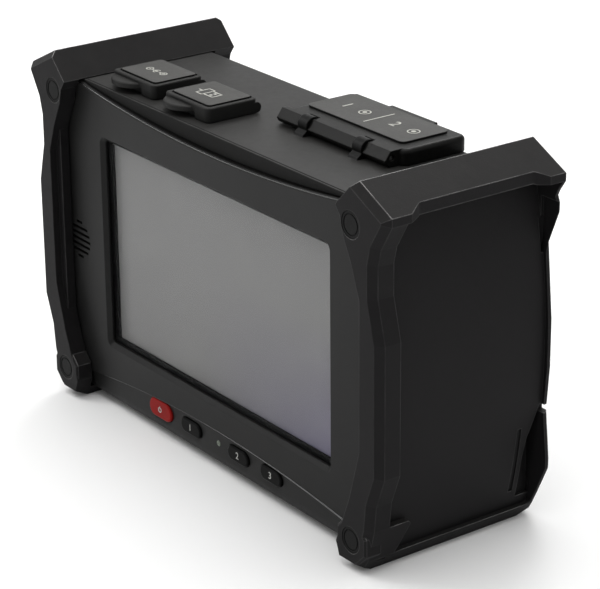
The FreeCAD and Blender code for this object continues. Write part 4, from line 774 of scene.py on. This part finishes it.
# thin bead across the front: a circle carried along an arch, its height following the arc's circle
def addBead(name, steps=120, sides=14):
    look = beadLook[name]
    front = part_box("touch_glass")[0].y - glassSet
    x = np.linspace(-look["end"], look["end"], steps)
    arc = abs(look["arc"])
    rise = math.copysign(1.0, look["arc"]) * (arc - np.sqrt(arc ** 2 - x ** 2)) if arc else np.zeros(steps)
    radius = np.interp(x, (taperStart, look["end"]), look["radius"])[:, None]
    turn = np.linspace(0, 2 * math.pi, sides, endpoint=False)[None, :]
    rings = np.stack([np.repeat(x[:, None], sides, 1), front + look["back"] + radius * np.cos(turn),
                      (look["middle"] + rise)[:, None] + radius * np.sin(turn)], axis=2)
    points, faces = ringSkin(list(rings))
    addMesh(name, points, faces, look["finish"], "instrument")


keyMarks()
lidMarks()
coverMarks()
for beadName in beadLook:
    addBead(beadName)
print("marks and trim: key numbers and sign, lid and cover signs, cover plates, front beads")


# ---- floor, lights, camera ----
floorLook = dict(half=9.0, colour=(0.93, 0.93, 0.925), tint=(0.87, 0.87, 0.865), tintShare=0.05, rough=0.6,
                 fade=(0.5, 1.6), level=-0.0002)


# plain pale floor; far from the object the camera sees it as white
def makeFloor():
    half, level = floorLook["half"], floorLook["level"]
    corners = [(-half, -half, level), (half, -half, level), (half, half, level), (-half, half, level)]
    mesh = bpy.data.meshes.new("floor")
    mesh.from_pydata(corners, [], [(0, 1, 2, 3)])
    floor = bpy.data.objects.new("floor", mesh)
    bpy.context.scene.collection.objects.link(floor)
    material, tree, shader, place = newMaterial("paleFloor")
    grain = noise(tree, place, 40.0, 3.0, 0.5)
    tinted = mathNode(tree, "MULTIPLY", grain, floorLook["tintShare"])
    tree.links.new(mixNode(tree, tinted, floorLook["colour"], floorLook["tint"]), shader.inputs["Base Color"])
    shader.inputs["Roughness"].default_value = floorLook["rough"]
    length = addNode(tree, "ShaderNodeVectorMath", operation="LENGTH")
    tree.links.new(place, length.inputs[0])
    far = stretch(tree, length.outputs["Value"], *floorLook["fade"])
    rays = addNode(tree, "ShaderNodeLightPath").outputs
    seen = mathNode(tree, "MAXIMUM", rays["Is Camera Ray"], rays["Is Glossy Ray"])
    white = addNode(tree, "ShaderNodeEmission")
    mix = addNode(tree, "ShaderNodeMixShader")
    tree.links.new(mathNode(tree, "MULTIPLY", far, seen), mix.inputs[0])
    tree.links.new(shader.outputs[0], mix.inputs[1])
    tree.links.new(white.outputs[0], mix.inputs[2])
    tree.links.new(mix.outputs[0], tree.nodes["Material Output"].inputs["Surface"])
    mesh.materials.append(material)


lampLooks = {
    "overheadSoftbox": dict(place=(-0.1, 0.0, 1.4), aim=(0, 0, 0.06), size=(1.8, 1.5), power=17.0),
    "backLeftSoftbox": dict(place=(-0.68, 0.87, 1.1), aim=(0, 0, 0.1), size=(0.5, 0.4), power=4.5),
    "frontLeftSoftbox": dict(place=(-0.92, -0.73, 0.98), aim=(0, 0, 0.06), size=(0.45, 0.45), power=4.5),
}


def addLamp(name):
    look = lampLooks[name]
    light = bpy.data.lights.new(name, "AREA")
    light.shape, light.energy = "RECTANGLE", look["power"]
    light.size, light.size_y = look["size"]
    lamp = bpy.data.objects.new(name, light)
    lamp.location = look["place"]
    lamp.rotation_euler = (Vector(look["aim"]) - Vector(look["place"])).to_track_quat("-Z", "Y").to_euler()
    bpy.context.scene.collection.objects.link(lamp)


worldLook = dict(fill=0.62, horizon=(0.12, 0.75), above=0.15)


# white to the camera and at the horizon of reflections, darker overhead, and an even fill as a light
def makeWorld():
    world = bpy.data.worlds.new("studio")
    bpy.context.scene.world = world
    world.use_nodes = True
    tree = world.node_tree
    back = tree.nodes["Background"]
    rays = addNode(tree, "ShaderNodeLightPath").outputs
    axes = addNode(tree, "ShaderNodeSeparateXYZ")
    tree.links.new(addNode(tree, "ShaderNodeTexCoord").outputs["Generated"], axes.inputs[0])
    sky = stretch(tree, axes.outputs["Z"], *worldLook["horizon"], 1.0, worldLook["above"])
    seen = mathNode(tree, "MAXIMUM", rays["Is Glossy Ray"], rays["Is Transmission Ray"])
    mirrored = mathNode(tree, "MULTIPLY", seen, sky)
    plain = stretch(tree, seen, 0.0, 1.0, worldLook["fill"], 0.0)
    level = mathNode(tree, "ADD", mirrored, plain)
    tree.links.new(mathNode(tree, "MAXIMUM", level, rays["Is Camera Ray"]), back.inputs["Strength"])
    back.inputs["Color"].default_value = (1, 1, 1, 1)


cameraLook = dict(place=(0.66989, -0.48186, 0.39369), turn=(68.0241, 0.4925, 53.6215), lens=148.78,
                  sensor=36.0, clip=(0.05, 60.0))


def makeCamera():
    data = bpy.data.cameras.new("camera")
    data.lens, data.sensor_width, data.sensor_fit = cameraLook["lens"], cameraLook["sensor"], "HORIZONTAL"
    data.clip_start, data.clip_end = cameraLook["clip"]
    camera = bpy.data.objects.new("camera", data)
    camera.location = cameraLook["place"]
    camera.rotation_euler = [math.radians(angle) for angle in cameraLook["turn"]]
    bpy.context.scene.collection.objects.link(camera)
    bpy.context.scene.camera = camera


makeFloor()
for lampName in lampLooks:
    addLamp(lampName)
makeWorld()
makeCamera()
bpy.context.scene.view_settings.view_transform = "Standard"
print("studio: floor,", len(lampLooks), "lamps, world and camera")
